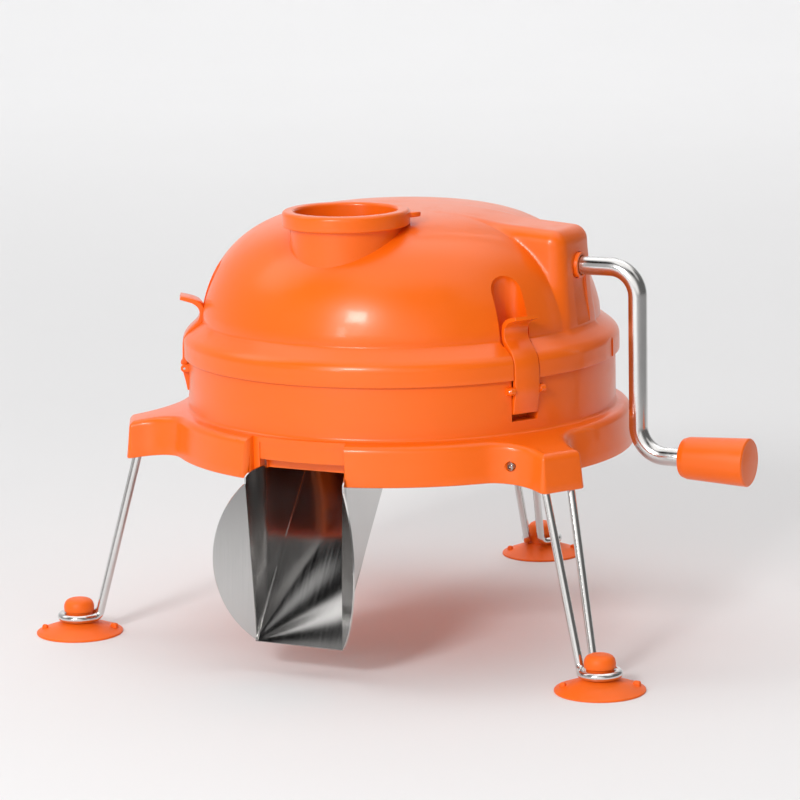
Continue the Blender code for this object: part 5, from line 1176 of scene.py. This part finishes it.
def chute_ramp(sheet):
    """The sloping floor with its upright back: a line in side view carried across the chute.

    Near the lip it buckles into a cone about the lip's left corner: the height over the flat sheet
    is the distance from the corner times a sine of the angle from the lip.
    """
    line = filleted([(LIP_Y, LIP_Z), (RAMP_Y, RAMP_Z), (RAMP_Y, SHEET_TOP)], 1.6, 8)
    line = evenly(line, 1.6)
    y, z = line[:, :1], line[:, 1:]
    width = 2 * INNER_X + 1.0 + LIP_SPREAD * near_lip(y)
    across = -INNER_X - 0.5 + np.linspace(0, 1, 61) * width
    y, z = y + 0 * across, z + 0 * across
    up = np.hypot(y - LIP_Y, z - LIP_Z)
    angle = np.arctan2(up, across + INNER_X + 0.6)
    reach = np.hypot(up, across + INNER_X + 0.6)
    cone = BUCKLE * reach * np.sin(2 * math.pi * np.minimum(angle / BUCKLE_TURN, 1.25))
    cone = cone * step_mask(62.0 - reach, 18.0)
    step = np.gradient(line, axis=0)
    normal = unit_rows(np.stack([step[:, 1], -step[:, 0]], 1))
    normal *= np.sign(normal[:, :1])
    away = np.stack([0 * normal[:, 0], normal[:, 0], normal[:, 1]], -1)[:, None]
    front = np.stack([across, y, z], -1) - away * cone[..., None]
    return slab(front, front + away * sheet)


def fold_line():
    """A thin rounded fold where the left side wall meets the sloping floor."""
    side = 0.15 - INNER_X
    low = np.array([side, LIP_Y, LIP_Z + 0.7])
    high = np.array([side, RAMP_Y - 0.6, RAMP_Z])
    return tube(low + (high - low) * np.linspace(0, 1, 24)[:, None], 0.55, 14)


def make_chute(metal):
    sheet = metal.sheet
    parts = [chute_side(-1, sheet), chute_side(1, sheet), chute_ramp(sheet), fold_line()]
    return put_parts("sheet_chute", parts, 30.0)


def make_rivet(number):
    """A rivet through chute and throat walls: round heads on a shaft, turned about a line in X."""
    place, sign = RIVETS[number - 1]
    profile = [(18.7, 0.05), (18.75, 0.9), (19.0, 1.7), (19.6, 2.6), (19.6, 1.5), (23.5, 1.5),
               (23.5, 2.6), (24.1, 1.7), (24.35, 0.9), (24.4, 0.05)]
    points, faces = about_x(profile, 32, 106.0, wrap=False)
    return put_mesh(f"chute_stud_{number}", points * (sign, 1, 1) - (0, place, 0), faces)


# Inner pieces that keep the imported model's shape


INNER_FINISHES = {
    "polished_steel": ("spindle", "thrust_washer", "blade_rivet_1", "blade_rivet_2",
                       "hub_rivet_1", "hub_rivet_2", "hub_rivet_3", "slicing_blade"),
    "screw_steel": ("pinion_screw", "gear_screw", "cover_screw_1", "cover_screw_2",
                    "cover_screw_3"),
    "disc_steel": ("cutting_disc",),
    "white_nylon": ("bevel_gear", "bevel_pinion", "top_bush", "cover_bush", "base_bush"),
    "orange_plastic": ("gear_cover", "disc_hub", "disc_nut"),
}


# Studio


VIEW_ROUND, VIEW_DOWN, VIEW_ROLL = 27.0, 10.68, 1.09
ROOM_LEVEL = 0.47
SCREENS = (
    # azimuth, elevation, inner and outer angle from there, brightness
    (27.0, 88.0, 26.0, 41.0, 0.9),
    (-168.0, 44.0, 6.0, 20.0, 1.6),
    (117.0, 30.0, 30.0, 60.0, 0.9),
    (-2.0, 45.0, 6.0, 18.0, 0.5),
    (-75.0, 6.0, 12.0, 38.0, 0.75),
    (-134.0, 49.0, 12.0, 22.0, -0.49),
    (10.0, 12.0, 30.0, 60.0, -0.32),
    (-45.0, 52.0, 8.0, 20.0, -0.36),
)


def dot_node(tree, vector, direction):
    node = tree.nodes.new("ShaderNodeVectorMath")
    node.operation = "DOT_PRODUCT"
    tree.links.new(vector, node.inputs[0])
    node.inputs[1].default_value = direction
    return node.outputs["Value"]


def make_floor(colour):
    """A floor that rises into a backdrop: a straight run, a quarter circle and a straight rise. Its
    paper carries painted shade that darkens it away from the object.
    """
    line = np.vstack([[(-6.0, 0.0)], arc((3.0, 1.6), 1.6, 270, 360, 24), [(4.6, 7.0)]])
    across = np.linspace(-9.0, 9.0, 9)
    grid = np.empty((len(line), len(across), 3))
    grid[..., 0] = across
    grid[..., 1] = line[:, :1]
    grid[..., 2] = line[:, 1:]
    grid = grid.reshape(-1, 3) @ np.array(Matrix.Rotation(math.radians(-VIEW_ROUND), 3, "Z")) / MM
    floor = put_mesh(
        "studio_floor", grid, [grid_quads(len(line), len(across), wrap_columns=False)], place=False
    )
    if floor.data.polygons[0].normal.z < 0:
        floor.data.flip_normals()
    material, tree, shader = new_material("studio_paper", Roughness=0.85)
    where = tree.nodes.new("ShaderNodeTexCoord").outputs["Object"]
    cloud = ranged(tree, noise_node(tree, where, 3.0, 2.0), 0.3, 0.7)
    tint = np.array(colour)
    paper = mixed_colour(tree, cloud, tint * 0.992, tint)
    # painted shade: the paper darkens to 0.42 of its colour from 0.37 m to 0.75 m out towards
    # azimuth -10 degrees, a painted vignette in place of light falling off
    away = ranged(tree, dot_node(tree, where, polar(1.0, -10.0)), 0.37, 0.75)
    paper = mixed_colour(tree, away, paper, tint * 0.42)
    tree.links.new(paper, shader.inputs["Base Color"])
    floor.data.materials.append(material)
    return floor


def add_light(name, place, target, size, power):
    light = bpy.data.lights.new(name, "AREA")
    light.shape = "RECTANGLE"
    light.size, light.size_y = size
    light.energy = power
    obj = bpy.data.objects.new(name, light)
    obj.location = Vector(place)
    aim = Vector(target) - obj.location
    obj.rotation_euler = aim.to_track_quat("-Z", "Y").to_euler()
    bpy.context.scene.collection.objects.link(obj)


def add_camera():
    """The photograph's place: looking down, turned round the object, and rolled a little."""
    camera = bpy.data.cameras.new("photo_camera")
    camera.lens, camera.sensor_width = 161.18, 36.0
    obj = bpy.data.objects.new("photo_camera", camera)
    turn = Matrix.Rotation(math.radians(VIEW_ROUND), 4, "Z")
    tilt = Matrix.Rotation(math.radians(90.0 - VIEW_DOWN), 4, "X")
    roll = Matrix.Rotation(math.radians(-VIEW_ROLL), 4, "Z")
    place = turn @ Vector((-0.0013, -1.8242, 0.4624)) + Vector(SHIFT)
    obj.matrix_world = Matrix.Translation(place) @ turn @ tilt @ roll
    bpy.context.scene.collection.objects.link(obj)
    bpy.context.scene.camera = obj


def set_world(strength):
    """A dim room with soft pale screens: each brightens where a direction nears the screen's own.

    A screen's mask rises smoothly with the dot product of the two directions.
    """
    world = bpy.data.worlds.new("studio_room")
    world.use_nodes = True
    tree = world.node_tree
    where = tree.nodes.new("ShaderNodeTexCoord").outputs["Generated"]
    total = ROOM_LEVEL * strength
    for azimuth, elevation, inner, outer, gain in SCREENS:
        level = math.cos(math.radians(elevation))
        towards = polar(level, azimuth, math.sin(math.radians(elevation)))
        edges = math.cos(math.radians(outer)), math.cos(math.radians(inner))
        mask = ranged(tree, dot_node(tree, where, towards), *edges, 0.0, gain * strength)
        mask.node.interpolation_type = "SMOOTHSTEP"
        total = math_node(tree, "ADD", mask, total)
    background = tree.nodes["Background"]
    background.inputs["Color"].default_value = (1.0, 0.99, 0.98, 1.0)
    tree.links.new(total, background.inputs["Strength"])
    bpy.context.scene.world = world


# Operators


class CUTTER_OT_finishes(bpy.types.Operator):
    """Make the plastics and steels, and give the inner pieces theirs"""

    bl_idname = "cutter.finishes"
    bl_label = "Finishes"

    def execute(self, context):
        make_materials(context.scene.cutter_finish)
        for finish, names in INNER_FINISHES.items():
            for name in names:
                give_material(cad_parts[name], finish)
        return {"FINISHED"}


class CUTTER_OT_lid(bpy.types.Operator):
    """Build the dome with its gear hump and pockets, and the feed chimney"""

    bl_idname = "cutter.lid"
    bl_label = "Lid"

    def execute(self, context):
        for piece in (make_lid(context.scene.cutter_lid), *make_chimney()):
            dress(piece, "housing", "orange_plastic", "lid_dome")
        return {"FINISHED"}


class CUTTER_OT_base(bpy.types.Operator):
    """Build the drum with its foot plate, lobes and latch slots"""

    bl_idname = "cutter.base"
    bl_label = "Base"

    def execute(self, context):
        shell = make_base(context.scene.cutter_base)
        dress(shell, "housing", "orange_plastic", "base_housing")
        return {"FINISHED"}


class CUTTER_OT_latches(bpy.types.Operator):
    """Build the three latches and their hinge pins"""

    bl_idname = "cutter.latches"
    bl_label = "Latches"

    def execute(self, context):
        for number, body in LATCH_BODIES.items():
            latch, pin = make_latch(number), make_latch_pin(number)
            dress(latch, body, "orange_plastic", f"latch_{number}")
            dress(pin, "housing", "polished_steel", f"latch_pin_{number}")
        return {"FINISHED"}


class CUTTER_OT_crank(bpy.types.Operator):
    """Build the crank bar, its bearings and the turning grip"""

    bl_idname = "cutter.crank"
    bl_label = "Crank"

    def execute(self, context):
        bar = make_crank(context.scene.cutter_metal)
        dress(bar, "crank", "polished_steel", "crank_rod")
        dress(make_grip(), "grip", "orange_grip", "crank_grip")
        collar, bearing = make_bushes()
        dress(collar, "housing", "orange_plastic", "crank_bush")
        dress(bearing, "housing", "white_nylon", "inner_bush")
        return {"FINISHED"}


class CUTTER_OT_legs(bpy.types.Operator):
    """Build the hairpin legs, their screws and the suction cups"""

    bl_idname = "cutter.legs"
    bl_label = "Legs and cups"

    def execute(self, context):
        for number in LEGS:
            leg = make_leg(number, context.scene.cutter_metal)
            cup, screw = make_cup(number), make_leg_screw(number)
            dress(leg, "housing", "polished_steel", f"leg_wire_{number}")
            dress(cup, "housing", "orange_rubber", f"suction_cup_{number}")
            dress(screw, "housing", "screw_steel", f"leg_screw_{number}")
        return {"FINISHED"}


class CUTTER_OT_chute(bpy.types.Operator):
    """Build the folded sheet chute and its rivets"""

    bl_idname = "cutter.chute"
    bl_label = "Chute"

    def execute(self, context):
        chute = make_chute(context.scene.cutter_metal)
        dress(chute, "housing", "chute_steel", "chute")
        for number in range(1, len(RIVETS) + 1):
            rivet = make_rivet(number)
            dress(rivet, "housing", "screw_steel", f"chute_rivet_{number}")
        return {"FINISHED"}


class CUTTER_OT_stage(bpy.types.Operator):
    """Build the pale floor, the lights and the camera"""

    bl_idname = "cutter.stage"
    bl_label = "Studio"

    def execute(self, context):
        studio = context.scene.cutter_studio
        make_floor(studio.floor)
        set_world(studio.surround)
        middle = (0.0, 0.0, 0.12)
        add_light("key", (0.0, -1.8, 1.08), middle, (0.36, 0.3), studio.key_power)
        add_light("strip", (-0.23, -1.88, 0.58), middle, (0.14, 0.42), studio.strip_power)
        behind = polar(2.6, 117.0, 3.0)
        backdrop = polar(4.6, 117.0, 0.7)
        add_light("backdrop_light", behind, backdrop, (3.0, 1.5), studio.fill_power)
        add_camera()
        context.scene.view_settings.view_transform = "Standard"
        return {"FINISHED"}


class CUTTER_PT_panel(bpy.types.Panel):
    """The cutter's settings and building steps"""

    bl_label = "Rotary Cutter"
    bl_idname = "CUTTER_PT_panel"
    bl_space_type = "VIEW_3D"
    bl_region_type = "UI"
    bl_category = "Cutter"

    def draw(self, context):
        for name in SETTINGS:
            group = getattr(context.scene, name)
            box = self.layout.box()
            for field in group.bl_rna.properties:
                if field.identifier not in ("rna_type", "name"):
                    box.prop(group, field.identifier)
        for operator in OPERATORS:
            self.layout.operator(operator.bl_idname)


SETTINGS = {
    "cutter_lid": LidSettings,
    "cutter_base": BaseSettings,
    "cutter_metal": MetalSettings,
    "cutter_finish": FinishSettings,
    "cutter_studio": StudioSettings,
}
OPERATORS = (
    CUTTER_OT_finishes,
    CUTTER_OT_lid,
    CUTTER_OT_base,
    CUTTER_OT_latches,
    CUTTER_OT_crank,
    CUTTER_OT_legs,
    CUTTER_OT_chute,
    CUTTER_OT_stage,
)


def register():
    for cls in (*SETTINGS.values(), *OPERATORS, CUTTER_PT_panel):
        bpy.utils.register_class(cls)
    for name, cls in SETTINGS.items():
        setattr(bpy.types.Scene, name, PointerProperty(type=cls))


def unregister():
    for name in SETTINGS:
        delattr(bpy.types.Scene, name)
    for cls in reversed((*SETTINGS.values(), *OPERATORS, CUTTER_PT_panel)):
        bpy.utils.unregister_class(cls)


def main():
    register()
    bpy.ops.cutter.finishes()
    bpy.ops.cutter.lid()
    bpy.ops.cutter.base()
    bpy.ops.cutter.latches()
    bpy.ops.cutter.crank()
    bpy.ops.cutter.legs()
    bpy.ops.cutter.chute()
    bpy.ops.cutter.stage()


if __name__ == "__main__":
    main()
